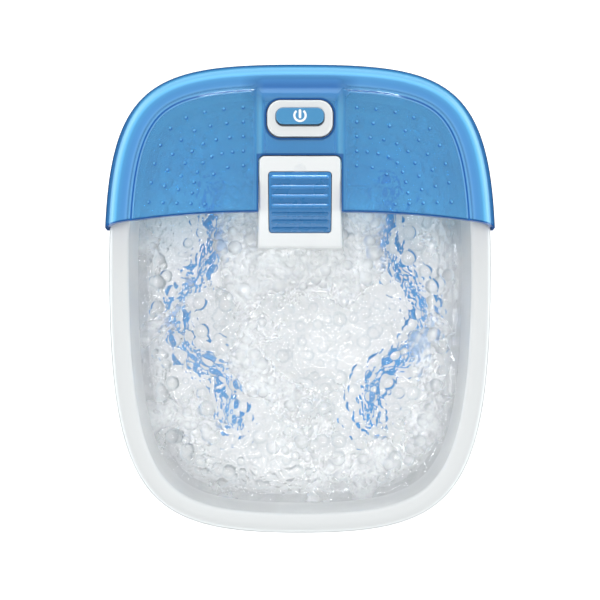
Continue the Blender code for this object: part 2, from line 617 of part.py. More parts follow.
def make_air_lines():
    loop = [(24, 146, 36), (24, 146, 60), (24, 146, 98), (20, 146, 114), (8, 146, 123),
            (-8, 146, 123), (-20, 146, 114), (-24, 146, 98), (-24, 146, 60), (-24, 146, 36.5)]
    tube("riser_hose", smooth(loop, 2), 6.2, HOSE, inner=4.95, sides=8)
    manifold = turned("air_manifold", [(8.0, 12.0), (8.0, 34.0)], GREY, (-24, 146), 16)
    add(manifold, turned("spigot", [(4.4, 33.0), (4.4, 48.0)], GREY, (-24, 146), 12))
    add(manifold, tube("left", [(-26, 146, 23), (-44, 146, 23)], 3.6, GREY, sides=12),
        tube("right", [(-24, 148, 23), (-24, 160.5, 23)], 3.6, GREY, sides=12))
    cut(manifold, turned("way", [(2.9, 18.0), (2.9, 50.0)], GREY, (-24, 146), 12),
        tube("left", [(-24, 146, 23), (-46, 146, 23)], 2.2, GREY, sides=10),
        tube("right", [(-24, 146, 23), (-24, 166, 23)], 2.2, GREY, sides=10))
    x, y = INLET
    rise = [(y, 24.5), (y, 29.5), (y, 37.5)]
    left = [(-35, 146, 23), (-45, 146, 23), (-49, 146, 23), (-64, 137, 20), (-76, 122, 17.5),
            (-80, 110, 19)] + [(-x, *p) for p in rise]
    right = [(-24, 154.8, 23), (-24, 161.5, 23), (-24, 163.2, 23), (-15, 169.5, 22), (8, 170, 20),
             (46, 164, 19), (68, 147, 18), (79, 124, 17), (80, 110, 19)] + [(x, *p) for p in rise]
    for side, name, path in ((-1, "left", left), (1, "right", right)):
        tube(f"air_hose_{name}", smooth(path, 2), 5.0, HOSE, inner=4.0, sides=8)
        spot = (side * x, y)
        turned(f"strip_inlet_{name}",
               [(3.6, 30.0), (3.6, 39.4), (8.0, 39.4), (8.0, 41.4), (4.4, 41.4), (4.4, 49.4),
                (2.6, 49.4), (2.6, 30.0)], GREY, spot, 14, ring=True)
        turned(f"inlet_seal_{name}", [(4.9, 41.6), (8.4, 41.6), (8.4, 43.0), (4.9, 43.0)],
               RUBBER, spot, 14, ring=True)


# ---- heater, wiring, feet and screws ------------------------------------------------------

def make_electrics():
    plate = prism("heater_plate", rounded((75, 32), 6, (0, -72), 3), 39.6, 42.9, ALUMINIUM)
    cut(plate, block("step", (-50, -76, 38.0), (50, -68, 40.4), ALUMINIUM))
    turned("thermostat", [(8.0, 30.4), (8.0, 37.0), (9.6, 37.2), (9.6, 39.3)], BLACK, (-32, -86),
           16)
    fuse = tube("thermal_fuse", [(14, -90, 36.6), (30, -90, 36.6)], 2.2, STEEL, sides=10)
    add(fuse, tube("leads", [(4, -90, 36.6), (40, -90, 36.6)], 0.6, STEEL, sides=6))
    terminal = block("terminal_block", (-120, 68, 8.9), (-92, 84, 24.0), BLACK)
    cut(terminal, block("slot_a", (-112, 60, 20.0), (-110, 90, 26.0), BLACK),
        block("slot_b", (-102, 60, 20.0), (-100, 90, 26.0), BLACK))
    leads = {
        "wire_heater": [(-40, -60, 38.2), (-52, -44, 33), (-72, -16, 29), (-92, 26, 24),
                        (-104, 52, 18), (-105, 67.5, 16)],
        "wire_motor": [(-16, 115.5, 65), (-24, 122, 58), (-31, 124, 46), (-38, 117, 38.5),
                       (-56, 97, 37.5), (-76, 92, 32), (-92, 94, 23), (-98, 91, 17),
                       (-98, 84.6, 17)],
        "wire_switch": [(0, 159.8, 149), (0, 162.8, 149), (0, 164.5, 132), (-3, 160, 84),
                        (-8, 149.5, 56), (-9, 150, 44), (-12, 158, 38), (-24, 162, 36.5), (-50, 158, 35),
                        (-74, 138, 34.5), (-98, 114, 30), (-112, 97, 20), (-113, 84.6, 17)],
    }
    for name, path in leads.items():
        tube(name, smooth(path, 3), 1.2, WIRE, sides=6)
    gland = on_gland(turned("cord_gland", [(5.3, -7.8), (5.3, 2.2), (9.0, 2.2), (9.0, 4.6),
                                           (6.4, 6.0), (6.0, 16.0), (4.6, 18.0), (3.4, 18.0),
                                           (3.4, -7.8)], BLACK, sides=20, ring=True))
    add(gland, on_gland(cut(turned("nut", [(8.2, -7.7), (8.2, -4.6)], BLACK, sides=6),
                            turned("bore", [(4.4, -9.0), (4.4, 0.0)], BLACK, sides=20))))


def make_fasteners():
    for name, spot in FEET.items():
        turned(name, [(9.8, 0.0), (11.0, 1.2), (11.0, 5.7), (4.0, 5.7), (4.0, 8.9), (5.2, 9.1),
                      (4.0, 10.8)], RUBBER, spot, 14)
    for k, spot in enumerate(SCREWS, start=1):
        turned(f"housing_screw_{k}", [(3.0, 6.4), (3.8, 7.2), (3.8, 9.0), (1.7, 9.0),
                                      (1.7, 26.0), (0.6, 28.0)], STEEL, spot, 12)


def hold(name, point, children):
    """Hang pieces on an empty at `point`, on the axis that they move along or turn about."""
    axis = bpy.data.objects.new(name, None)
    bpy.context.scene.collection.objects.link(axis)
    axis.location = Vector(point) * MM
    for child in (bpy.data.objects[c] for c in children):
        child.parent = axis
        child.location = child.location - axis.location


def main():
    for old in list(bpy.data.objects):
        bpy.data.objects.remove(old)
    make_tub()
    make_base()
    make_guard()
    make_button_group()
    make_holder()
    make_strips()
    make_blower()
    make_motor()
    make_air_lines()
    make_electrics()
    make_fasteners()
    for made in bpy.context.scene.objects:
        made.data.shade_smooth()
        made.data.set_sharp_from_angle(angle=math.radians(32))
    hold("guard_lift", (0, NOTCH_REAR, GUARD_BOTTOM), ["splash_guard"])
    hold("button_press", (0, BUTTON_Y, BUTTON_TOP), ["power_button", "button_stem"])
    hold("pumice_lift", (0, HOLDER_BEND, 165.3), ["pumice_holder", "pumice_stone"])
    hold("impeller_axis", (0, MOTOR_Y, 17.0), ["blower_impeller", "motor_shaft", "motor_rotor"])


main()
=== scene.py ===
"""Looks of the bubble foot bath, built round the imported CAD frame. Lengths here are in
millimetres unless a name says otherwise, in the frame's own axes: +Y is the toe end, +Z up."""
import json
import math
from functools import partialmethod

import bmesh
import bpy
import numpy as np
from mathutils import Matrix, Vector


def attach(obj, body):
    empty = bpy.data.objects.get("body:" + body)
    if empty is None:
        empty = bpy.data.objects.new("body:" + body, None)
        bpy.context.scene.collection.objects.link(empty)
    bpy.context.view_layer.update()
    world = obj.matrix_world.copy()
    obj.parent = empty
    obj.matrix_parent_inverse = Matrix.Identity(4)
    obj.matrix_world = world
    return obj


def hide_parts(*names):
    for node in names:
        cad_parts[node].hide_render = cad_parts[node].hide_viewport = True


MM = 0.001
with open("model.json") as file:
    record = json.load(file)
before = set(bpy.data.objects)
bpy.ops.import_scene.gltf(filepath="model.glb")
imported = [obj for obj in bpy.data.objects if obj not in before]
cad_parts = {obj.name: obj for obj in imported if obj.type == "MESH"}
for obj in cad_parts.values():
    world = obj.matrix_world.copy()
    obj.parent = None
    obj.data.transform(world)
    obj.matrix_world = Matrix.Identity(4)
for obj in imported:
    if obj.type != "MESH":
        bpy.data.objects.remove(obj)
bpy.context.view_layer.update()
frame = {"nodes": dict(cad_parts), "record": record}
nodes = frame["nodes"]

# The CAD's plan outline and the levels that the visible pieces share with it.
HALF_WIDTH = 164.0
FRONT_Y, REAR_Y, WIDEST_Y = -200.0, 197.6, 28.0
FRONT_REACH, REAR_REACH = (130.9, 201.3), (156.7, 129.2)
OUTLINE_POINTS = 280
RIM_Z, FLOOR_Z, WATER_Z = 150.0, 46.0, 107.0
FLOOR_INSET = 41.0
GUARD_BOTTOM, GUARD_SHOULDER, GUARD_TOP, PANEL_Z, PLATEAU_Z = 136.0, 152.0, 172.0, 170.5, 176.0
PLATEAU_HALF, PLATEAU_FOOT, NOTCH_HALF, NOTCH_REAR = 28.6, 39.6, 35.0, 121.0
EDGE_Y, EDGE_FLAT_HALF, EDGE_BOW, EDGE_LEAN = 74.1, 36.0, 0.00065, 0.10
GUARD_WALL, LIP_DROP = 2.2, 5.2
CONSOLE_HALF, CONSOLE_Z, BLOCK_HALF, BLOCK_REAR, SIDE_DRAFT = 31.0, 168.0, 33.6, 120.2, 0.07
HOLDER_HALF, HOLDER_REAR, HOLDER_BEND, HOLDER_FRONT = 26.2, 107.0, 76.0, 57.4
HOLDER_TOP, HOLDER_UNDERSIDE = 0.2, 3.4
RIB_COUNT, RIB_START, RIB_PITCH, RIB_RADIUS = 7, 4.6, 8.2, 1.9
BUTTON_Y, BEZEL_TOP, BUTTON_TOP, SYMBOL_TOP = 152.7, 180.5, 182.0, 182.16
BEZEL_HALF, BUTTON_HALF = (27.3, 15.2), (20.0, 7.2)
WINDOW_Y, WINDOW_HALF, WINDOW_CORNER = 151.4, (28.2, 16.1), 12.0
SCREWS = [(100, -112), (-100, -112), (112, 10), (-112, 10), (95, 145), (-95, 145)]
FEET = [(-95, -135), (95, -135), (-100, 122), (100, 122)]
MOTOR_Y, GLAND_X, GLAND_Z = 95.0, -60.0, 30.0
STRIP_PATH = [(80, 112), (80, 100), (79.5, 76), (77, 50), (89, 28), (106, 8), (113, -16),
              (109, -38), (95, -55), (73, -66), (63, -80), (62.5, -100), (64, -118)]


# ---- node materials

class Graph:
    """Small helper to write a material's or the world's node tree as a few lines."""

    def __init__(self, name, kind=bpy.data.materials, output="ShaderNodeOutputMaterial"):
        self.owner = kind.new(name)
        self.owner.use_nodes = True
        self.tree = self.owner.node_tree
        self.tree.nodes.clear()
        self.output = self.add(output)

    def feed(self, socket, value):
        """Link a socket's value, or set a plain one."""
        if isinstance(value, bpy.types.NodeSocket):
            self.tree.links.new(value, socket)
        else:
            socket.default_value = value

    def add(self, kind, settings=None, **inputs):
        node = self.tree.nodes.new(kind)
        for key, value in (settings or {}).items():
            setattr(node, key, value)
        for key, value in inputs.items():
            self.feed(node.inputs[key.replace("_", " ")], value)
        return node

    def place(self):
        return self.add("ShaderNodeTexCoord").outputs["Object"]

    def normal(self):
        return self.add("ShaderNodeTexCoord").outputs["Normal"]

    def split(self, vector):
        return tuple(self.add("ShaderNodeSeparateXYZ", Vector=vector).outputs)

    def noise(self, scale, detail=3.0, roughness=0.5):
        return self.add("ShaderNodeTexNoise", Vector=self.place(), Scale=scale, Detail=detail,
                        Roughness=roughness).outputs["Fac"]

    def remap(self, value, low, high, out_low=0.0, out_high=1.0):
        return self.add("ShaderNodeMapRange", Value=value, From_Min=low, From_Max=high,
                        To_Min=out_low, To_Max=out_high).outputs["Result"]

    def ramp(self, factor, stops):
        """Colour ramp through (position, colour) stops."""
        node = self.add("ShaderNodeValToRGB", Fac=factor)
        elements = node.color_ramp.elements
        for k, (position, colour) in enumerate(stops):
            element = elements[k] if k < 2 else elements.new(1.0)
            element.position, element.color = position, colour + (1,)
        return node.outputs[0]

    def blend(self, factor, first, second):
        node = self.add("ShaderNodeMix", {"data_type": "RGBA"})
        for index, value in ((0, factor), (6, first), (7, second)):
            self.feed(node.inputs[index], value)
        return node.outputs[2]

    def bump(self, height, strength, distance):
        return self.add("ShaderNodeBump", Height=height, Strength=strength,
                        Distance=distance).outputs["Normal"]

    def mix(self, factor, first, second):
        node = self.add("ShaderNodeMixShader")
        for socket, value in zip(node.inputs, (factor, first, second)):
            self.feed(socket, value)
        return node.outputs[0]

    def math(self, operation, first, second=0.0):
        node = self.add("ShaderNodeMath", {"operation": operation})
        for socket, value in zip(node.inputs, (first, second)):
            self.feed(socket, value)
        return node.outputs[0]

    plus = partialmethod(math, "ADD")
    minus = partialmethod(math, "SUBTRACT")
    times = partialmethod(math, "MULTIPLY")
    larger = partialmethod(math, "MAXIMUM")
    smaller = partialmethod(math, "MINIMUM")
    size = partialmethod(math, "ABSOLUTE")
    root = partialmethod(math, "SQRT")

    def square(self, value):
        return self.math("POWER", value, 2.0)

    def close(self, shader):
        self.tree.links.new(shader, self.output.inputs["Surface"])
        return self.owner

    def surface(self, **inputs):
        return self.close(self.add("ShaderNodeBsdfPrincipled", **inputs).outputs[0])


def shade(colour, factor):
    return tuple(min(1.0, c * factor) for c in colour[:3]) + (1.0,)


def plastic(name, colour, roughness, grain=900.0, depth=0.00004, mottle=0.03, coat=0.0,
            heel_wall_shade=0.0):
    """Moulded plastic or rubber: slight colour drift, uneven gloss and a fine grain.
    With the heel-wall shade given, the wall under the rim at the heel end is painted a little
    greyer: painted shade under the rim."""
    g = Graph(name)
    drift = g.remap(g.noise(14.0), 0.35, 0.65)
    base = g.blend(drift, shade(colour, 1 - mottle), shade(colour, 1 + mottle))
    if heel_wall_shade:
        # Painted shade: the wall facing the toes darkens from 100 mm upwards, under the rim.
        high = g.remap(g.split(g.place())[2], 0.100, 0.120)
        towards_toes = g.remap(g.split(g.normal())[1], 0.3, 0.9, 0.0, heel_wall_shade)
        base = g.blend(g.times(towards_toes, high), base, (0.0, 0.0, 0.0, 1))
    gloss = g.remap(g.noise(60.0, 4.0), 0.3, 0.7, roughness * 0.85, roughness * 1.15)
    normal = g.bump(g.noise(grain, 2.0), 0.35, depth)
    return g.surface(Base_Color=base, Roughness=gloss, Normal=normal, Coat_Weight=coat,
                     Coat_Roughness=0.08)


def depth_behind_cuts(g, x, y, z):
    """How far behind the guard's cut edges a point is, in metres: front edge, notch, window."""
    side = g.size(x)
    bow = g.times(g.square(g.larger(g.minus(side, EDGE_FLAT_HALF * MM), 0.0)), EDGE_BOW / MM)
    lean = g.times(g.minus(GUARD_TOP * MM, z), EDGE_LEAN)
    front = g.plus(g.minus(y, EDGE_Y * MM), g.plus(bow, lean))
    notch = g.larger(g.minus(side, NOTCH_HALF * MM), g.minus(y, NOTCH_REAR * MM))
    offset = g.size(g.minus(y, WINDOW_Y * MM))
    across, along = (g.larger(g.minus(value, (half - WINDOW_CORNER) * MM), 0.0)
                     for value, half in zip((side, offset), WINDOW_HALF))
    window = g.minus(g.root(g.plus(g.square(across), g.square(along))), WINDOW_CORNER * MM)
    return g.smaller(g.smaller(front, notch), window)


def clear_blue(name):
    """Translucent blue plastic, with light and shade painted into its colour by steepness and
    place:
    a painted highlight where the wall curves outwards and on the dots' outer halves, painted
    shade on upright walls, inward steps and the dots' inner halves. The lips at the cut edges are
    deep blue. `tilt` is how steep the surface is, from 0 for level to 1 for upright."""
    g = Graph(name)
    drift = g.remap(g.noise(9.0), 0.3, 0.7)
    tip_x, tip_y, tip_z = g.split(g.normal())
    x, y, z = g.split(g.place())
    side = g.size(x)
    tilt = g.root(g.larger(g.minus(1.0, g.times(tip_z, tip_z)), 0.0))
    outwards = g.plus(g.times(tip_x, x), g.times(tip_y, y))
    rear = g.remap(tip_y, 0.3, 0.6)
    # Painted light by steepness: a painted highlight band on the outward curve of the shoulder,
    # painted shade on upright walls.
    lit = g.ramp(g.minus(tilt, g.times(rear, 0.09)), (
        (0.0, (0.22, 0.54, 0.92)), (0.03, (0.15, 0.43, 0.86)), (0.25, (0.13, 0.41, 0.82)),
        (0.35, (0.13, 0.45, 0.86)), (0.43, (0.13, 0.49, 0.89)), (0.50, (0.14, 0.52, 0.88)),
        (0.57, (0.205, 0.56, 0.80)), (0.65, (0.205, 0.56, 0.80)), (0.71, (0.10, 0.38, 0.68)),
        (0.77, (0.05, 0.22, 0.50)), (0.91, (0.035, 0.17, 0.44)), (1.0, (0.012, 0.06, 0.22))))
    # Painted shade on inward-facing faces, such as the crease step, deepening as they steepen.
    inward = g.blend(g.remap(tilt, 0.15, 0.65), (0.235, 0.555, 0.95, 1), (0.015, 0.11, 0.38, 1))

    # The raised middle keeps more of its inward colour, and is seen through more.
    ridge = g.times(g.remap(side, 0.043, 0.039), g.remap(y, 0.1835, 0.1795))
    beside_ridge = g.minus(1.0, ridge)
    # Outward-facing slopes, the shoulder and the dots' outer halves, take the painted highlight;
    # inward-facing ones, the crease and the dots' inner halves, the painted shade.
    outer = g.times(g.remap(outwards, 0.0, 0.02), g.minus(1.0, g.times(ridge, 0.4)))
    colour = g.blend(outer, inward, lit)

    # A paler painted highlight band along the rear shoulder, and painted shade, a deeper blue,
    # behind the controls.
    glow = g.times(g.times(rear, 0.85), g.remap(tilt, 0.55, 0.62))
    glow = g.times(glow, g.remap(tilt, 0.84, 0.78))
    colour = g.blend(glow, colour, (0.09, 0.385, 0.70, 1))
    shade_behind_controls = g.times(g.remap(side, 0.050, 0.030),
                   g.times(g.remap(y, 0.161, 0.174), g.remap(y, 0.191, 0.184)))
    deep = g.blend(g.remap(g.size(g.minus(y, 0.179)), 0.001, 0.008), (0.054, 0.19, 0.49, 1),
                   (0.08, 0.275, 0.60, 1))
    colour = g.blend(shade_behind_controls, colour, deep)

    lip = g.remap(depth_behind_cuts(g, x, y, z), 0.0019, 0.0011)
    dark = g.larger(lip, g.remap(tilt, 0.81, 0.91))
    tint = g.blend(drift, (0.33, 0.75, 0.965, 1), (0.36, 0.78, 0.975, 1))
    tint = g.blend(g.remap(y, 0.11, 0.155), tint, (0.375, 0.83, 1.0, 1))
    see = g.add("ShaderNodeBsdfTransparent", Color=g.blend(dark, tint, (0.05, 0.16, 0.40, 1)))
    body = g.add("ShaderNodeBsdfDiffuse", Color=g.blend(lip, colour, (0.02, 0.13, 0.42, 1)))

    # How much of the surface is body colour rather than see-through.
    curved = g.smaller(g.remap(tilt, 0.0, 0.05, 0.28, 0.62),
                       g.plus(g.remap(tilt, 0.1, 0.6, 0.28, 0.56), beside_ridge))
    for floor in (g.times(lip, 0.6), g.times(g.remap(tilt, 0.2, 0.5, 0.0, 0.9), beside_ridge),
                  g.times(shade_behind_controls, 0.9)):
        curved = g.larger(curved, floor)

    # Faces turned inwards near the front edge don't shine.
    gloss = g.add("ShaderNodeBsdfGlossy", Color=(0.70, 0.92, 1.0, 1), Roughness=0.08)
    turned_in = g.times(g.minus(1.0, g.remap(outwards, -0.02, 0.0)), g.remap(tilt, 0.05, 0.2))
    matt = g.times(turned_in, g.remap(y, 0.172, 0.155, 0.0, 0.85))
    sheen = g.times(g.add("ShaderNodeFresnel", IOR=1.6).outputs[0], g.minus(1.0, matt))
    return g.close(g.mix(sheen, g.mix(curved, see.outputs[0], body.outputs[0]),
                         gloss.outputs[0]))


def stone(name):
    """Pumice: dark pores in drifting grey."""
    g = Graph(name)
    pores = g.add("ShaderNodeTexVoronoi", Vector=g.place(), Scale=620.0)
    pits = g.remap(pores.outputs["Distance"], 0.12, 0.42)
    colour = g.blend(pits, (0.16, 0.15, 0.14, 1),
                     g.blend(g.noise(45.0), (0.46, 0.44, 0.41, 1), (0.62, 0.60, 0.57, 1)))
    return g.surface(Base_Color=colour, Roughness=0.95, Normal=g.bump(pits, 0.9, 0.0006))


def windings(name):
    """Copper wire lying in turns round the motor's axis."""
    g = Graph(name)
    wave = g.add("ShaderNodeTexWave", {"wave_type": "BANDS", "bands_direction": "Z"},
                 Vector=g.place(), Scale=380.0, Distortion=1.2)
    colour = g.blend(wave.outputs["Fac"], (0.22, 0.07, 0.025, 1), (0.85, 0.40, 0.18, 1))
    return g.surface(Base_Color=colour, Metallic=0.9, Roughness=0.3,
                     Normal=g.bump(wave.outputs["Fac"], 0.6, 0.0003))


def metal(name, colour, roughness, streak=220.0):
    """Brushed metal: the grain is stretched noise, stronger in gloss than in colour."""
    g = Graph(name)
    stretched = g.add("ShaderNodeMapping", Vector=g.place(),
                      Scale=(streak, streak * 0.05, streak)).outputs[0]
    grain = g.add("ShaderNodeTexNoise", Vector=stretched, Scale=1.0, Detail=4.0).outputs["Fac"]
    return g.surface(Base_Color=g.blend(grain, shade(colour, 0.86), shade(colour, 1.08)),
                     Roughness=g.remap(grain, 0.3, 0.7, roughness * 0.7, roughness * 1.3),
                     Metallic=1.0, Normal=g.bump(grain, 0.25, 0.00004))


# The basin's copy of the gloss white carries painted shade on its heel-end wall under the rim.
WHITE, SHADED_BASIN = (
    plastic(name, (0.715, 0.72, 0.72), 0.33, depth=0.00001, mottle=0.004, coat=0.8, heel_wall_shade=heel_wall_shade)
    for name, heel_wall_shade in (("white_gloss_abs", 0.0), ("basin_white_painted_shade", 0.17)))
SHELL = plastic("white_satin_abs", (0.70, 0.70, 0.695), 0.42, grain=1400.0, depth=0.00007,
                mottle=0.015)
GUARD = clear_blue("clear_blue")
EDGE = plastic("cut_edge_blue", (0.012, 0.10, 0.36), 0.3, mottle=0.02, coat=0.3)
# The block's white is a lighter copy of the tub's white: painted light on the raised block.
BLOCK = plastic("block_white_painted_light", (0.77, 0.775, 0.775), 0.33, mottle=0.012, coat=0.8)
BLUE = plastic("button_blue", (0.062, 0.26, 0.49), 0.30, mottle=0.03, coat=0.2)
HOLDER = plastic("holder_blue", (0.038, 0.185, 0.42), 0.28, mottle=0.03, coat=0.3)
STRIP = plastic("strip_blue", (0.002, 0.22, 0.56), 0.38, mottle=0.05)
PRINT = plastic("white_print", (0.93, 0.93, 0.93), 0.4, mottle=0.01)
PUMICE = stone("pumice_stone_look")
RUBBER = plastic("dark_rubber", (0.028, 0.028, 0.03), 0.75, grain=500.0, depth=0.00012,
                 mottle=0.15)
SILICONE = plastic("milky_silicone", (0.66, 0.69, 0.68), 0.42, mottle=0.04, coat=0.1)
BLACK = plastic("black_nylon", (0.022, 0.022, 0.024), 0.48, grain=1100.0, depth=0.00008,
                mottle=0.12)
GREY = plastic("grey_nylon", (0.26, 0.27, 0.29), 0.5, grain=1100.0, depth=0.00008, mottle=0.06)
WIRE = plastic("wire_red", (0.38, 0.03, 0.02), 0.42, mottle=0.06)
STEEL = metal("brushed_steel_look", (0.56, 0.57, 0.59), 0.28)
ALUMINIUM = metal("aluminium_look", (0.72, 0.73, 0.75), 0.36, streak=120.0)
COPPER = windings("copper_windings")
SLOT_LOOKS = {"white_abs": SHELL, "rubber": RUBBER, "silicone_hose": SILICONE, "steel": STEEL,
              "copper": COPPER, "aluminium": ALUMINIUM, "black_plastic": BLACK,
              "grey_plastic": GREY, "wire_insulation": WIRE, "blue_abs": BLUE,
              "strip_blue": STRIP, "pumice": PUMICE, "blue_clear_plastic": GUARD}


# ---- mesh helpers

def add_object(name, data, look=None):
    made = bpy.data.objects.new(name, data)
    bpy.context.scene.collection.objects.link(made)
    if look:
        data.materials.append(look)
    return made


def bake(made):
    """Apply the object's modifiers to its mesh."""
    graph = bpy.context.evaluated_depsgraph_get()
    made.data = bpy.data.meshes.new_from_object(made.evaluated_get(graph))
    made.modifiers.clear()
    return made


def smooth_shade(made, angle=35.0):
    made.data.shade_smooth()
    made.data.set_sharp_from_angle(angle=math.radians(angle))
    return made


def weigh_normals(made):
    """Keep large flat faces flat beside their rounded edges."""
    step = made.modifiers.new("weigh", "WEIGHTED_NORMAL")
    step.keep_sharp, step.weight = True, 100
    return bake(made)


def piece(name, vertices, faces, look, angle=35.0):
    """Object from vertices in millimetres, with doubles merged and normals outwards."""
    mesh = bpy.data.meshes.new(name)
    mesh.from_pydata([tuple(float(c) * MM for c in v) for v in vertices], [], faces)
    work = bmesh.new()
    work.from_mesh(mesh)
    bmesh.ops.remove_doubles(work, verts=work.verts, dist=1e-7)
    bmesh.ops.recalc_face_normals(work, faces=work.faces)
    work.to_mesh(mesh)
    work.free()
    return smooth_shade(add_object(name, mesh, look), angle)


def loft(name, rings, look, closed=False, angle=35.0):
    """Skin over rings of equal length, capped at both ends unless the rings form a loop."""
    count = len(rings[0])
    vertices = [tuple(p) for ring in rings for p in ring]
    faces = []
    for i in range(len(rings) if closed else len(rings) - 1):
        a, b = i * count, ((i + 1) % len(rings)) * count
        faces += [(a + j, a + (j + 1) % count, b + (j + 1) % count, b + j)
                  for j in range(count)]
    if not closed:
        faces += [tuple(range(count)), tuple(range(len(vertices) - count, len(vertices)))]
    return piece(name, vertices, faces, look, angle)


def prism(name, polygon, low, high, look, along="z"):
    """Polygon drawn out along an axis, from `low` to `high`."""
    place = {"z": lambda a, b, h: (a, b, h), "y": lambda a, b, h: (a, h, b),
             "x": lambda a, b, h: (h, a, b)}[along]
    return loft(name, [[place(a, b, h) for a, b in polygon] for h in (low, high)], look)


def circle(centre, radius, steps):
    return [(centre[0] + radius * math.cos(a), centre[1] + radius * math.sin(a))
            for a in np.linspace(0, 2 * math.pi, steps, endpoint=False)]


def disc(centre, radius, low, high, look, steps=28):
    return prism("disc", circle(centre, radius, steps), low, high, look)


def rounded(half, radius, centre=(0.0, 0.0), steps=10):
    """Rectangle with round corners."""
    points = []
    for sx, sy, start in ((1, 1, 0), (-1, 1, 90), (-1, -1, 180), (1, -1, 270)):
        for k in range(steps + 1):
            angle = math.radians(start + 90 * k / steps)
            points.append((centre[0] + sx * (half[0] - radius) + radius * math.cos(angle),
                           centre[1] + sy * (half[1] - radius) + radius * math.sin(angle)))
    return points


def round_path(points, steps=6):
    """Polyline whose inner corners, given as (a, b, radius), are replaced by arcs."""
    result = []
    for i, (a, b, radius) in enumerate(points):
        here = np.array([a, b], float)
        if radius <= 0 or i in (0, len(points) - 1):
            result.append(tuple(here))
            continue
        before, after = (np.array(points[k][:2], float) for k in (i - 1, i + 1))
        u, v = (before - here), (after - here)
        u, v = u / np.linalg.norm(u), v / np.linalg.norm(v)
        half = math.acos(np.clip(u @ v, -1, 1)) / 2
        reach = radius / math.tan(half)
        centre = here + (u + v) / np.linalg.norm(u + v) * radius / math.sin(half)
        first, last = here + u * reach - centre, here + v * reach - centre
        turn = math.atan2(first[0] * last[1] - first[1] * last[0], first @ last)
        for k in range(steps + 1):
            t = turn * k / steps
            c, s = math.cos(t), math.sin(t)
            result.append((centre[0] + first[0] * c - first[1] * s,
                           centre[1] + first[0] * s + first[1] * c))
    return result


def smooth_line(points, per_span=5):
    """Catmull-Rom curve through the points."""
    points = [np.array(p, float) for p in points]
    points = [2 * points[0] - points[1]] + points + [2 * points[-1] - points[-2]]
    line = []
    for a, b, c, d in zip(points, points[1:], points[2:], points[3:]):
        for k in range(per_span):
            t = k / per_span
            line.append(0.5 * (2 * b + (c - a) * t + (2 * a - 5 * b + 4 * c - d) * t ** 2
                               + (3 * b - a - 3 * c + d) * t ** 3))
    line.append(points[-2])
    return line


def ball(name, centre, radii, look, columns=16, rows=8):
    """Ellipsoid from rings, used as a cutter or a small dome."""
    rings = []
    for r in range(1, rows):
        a = math.pi * r / rows
        rings.append([(centre[0] + radii[0] * math.sin(a) * math.cos(2 * math.pi * k / columns),
                       centre[1] + radii[1] * math.sin(a) * math.sin(2 * math.pi * k / columns),
                       centre[2] - radii[2] * math.cos(a)) for k in range(columns)])
    return loft(name, rings, look)


def combine(target, tool, operation):
    """Boolean of the target with a tool, which is used up; the target keeps its own look."""
    step = target.modifiers.new("combine", "BOOLEAN")
    step.operation, step.solver, step.object = operation, "EXACT", tool
    bake(target)
    bpy.data.objects.remove(tool)
    while len(target.data.materials) > 1:
        target.data.materials.pop()
    return target


def carve(target, *tools):
    for tool in tools:
        combine(target, tool, "DIFFERENCE")
    return target


def join(name, parts, look):
    """Merge pieces that don't need a Boolean into one object."""
    work = bmesh.new()
    for part in parts:
        work.from_mesh(part.data)
        bpy.data.objects.remove(part)
    mesh = bpy.data.meshes.new(name)
    work.to_mesh(mesh)
    work.free()
    return smooth_shade(add_object(name, mesh, look))


def sharp(edge, degrees=50):
    return edge.calc_face_angle(0.0) > math.radians(degrees)


def bevel_where(made, test, width, segments=4):
    """Round the edges for which test(edge) holds."""
    work = bmesh.new()
    work.from_mesh(made.data)
    chosen = [e for e in work.edges if len(e.link_faces) == 2 and test(e)]
    bmesh.ops.bevel(work, geom=chosen, offset=width * MM, segments=segments, profile=0.5,
                    affect="EDGES", clamp_overlap=True)
    work.to_mesh(made.data)
    work.free()
    return smooth_shade(made)


# ---- plan outline

def cubic(a, b, c, d, t):
    a, b, c, d = (np.array(p, float) for p in (a, b, c, d))
    return (1 - t) ** 3 * a + 3 * (1 - t) ** 2 * t * b + 3 * (1 - t) * t ** 2 * c + t ** 3 * d


def half_outline(count):
    """Right half of the CAD's plan outline, heel to toe, with its inward normals."""
    t = np.linspace(0, 1, 1200)[:, None]
    front = cubic((0, FRONT_Y), (FRONT_REACH[0], FRONT_Y),
                  (HALF_WIDTH, WIDEST_Y - FRONT_REACH[1]), (HALF_WIDTH, WIDEST_Y), t)
    rear = cubic((HALF_WIDTH, WIDEST_Y), (HALF_WIDTH, WIDEST_Y + REAR_REACH[0]),
                 (REAR_REACH[1], REAR_Y), (0, REAR_Y), t)
    line = np.vstack([front, rear[1:]])
    tangent = np.gradient(line, axis=0)
    tangent /= np.linalg.norm(tangent, axis=1)[:, None]
    normal = np.stack([-tangent[:, 1], tangent[:, 0]], axis=1)
    run = np.concatenate([[0], np.cumsum(np.linalg.norm(np.diff(line, axis=0), axis=1))])
    stations = np.linspace(0, run[-1], count // 2 + 1)
    points = np.stack([np.interp(stations, run, line[:, i]) for i in (0, 1)], axis=1)
    normals = np.stack([np.interp(stations, run, normal[:, i]) for i in (0, 1)], axis=1)
    normals[0], normals[-1] = (0, 1), (0, -1)
    return points, normals


def ring_at(inset, z, count=OUTLINE_POINTS):
    """The whole outline, drawn in by `inset`, at height z."""
    points, normals = half_outline(count)
    right = points + normals * inset
    left = right[-2:0:-1] * (-1, 1)
    return [(x, y, z) for x, y in np.vstack([right, left])]


def scaled(ring, factor, centre, z):
    return [(centre[0] + (x - centre[0]) * factor, centre[1] + (y - centre[1]) * factor, z)
            for x, y, _ in ring]


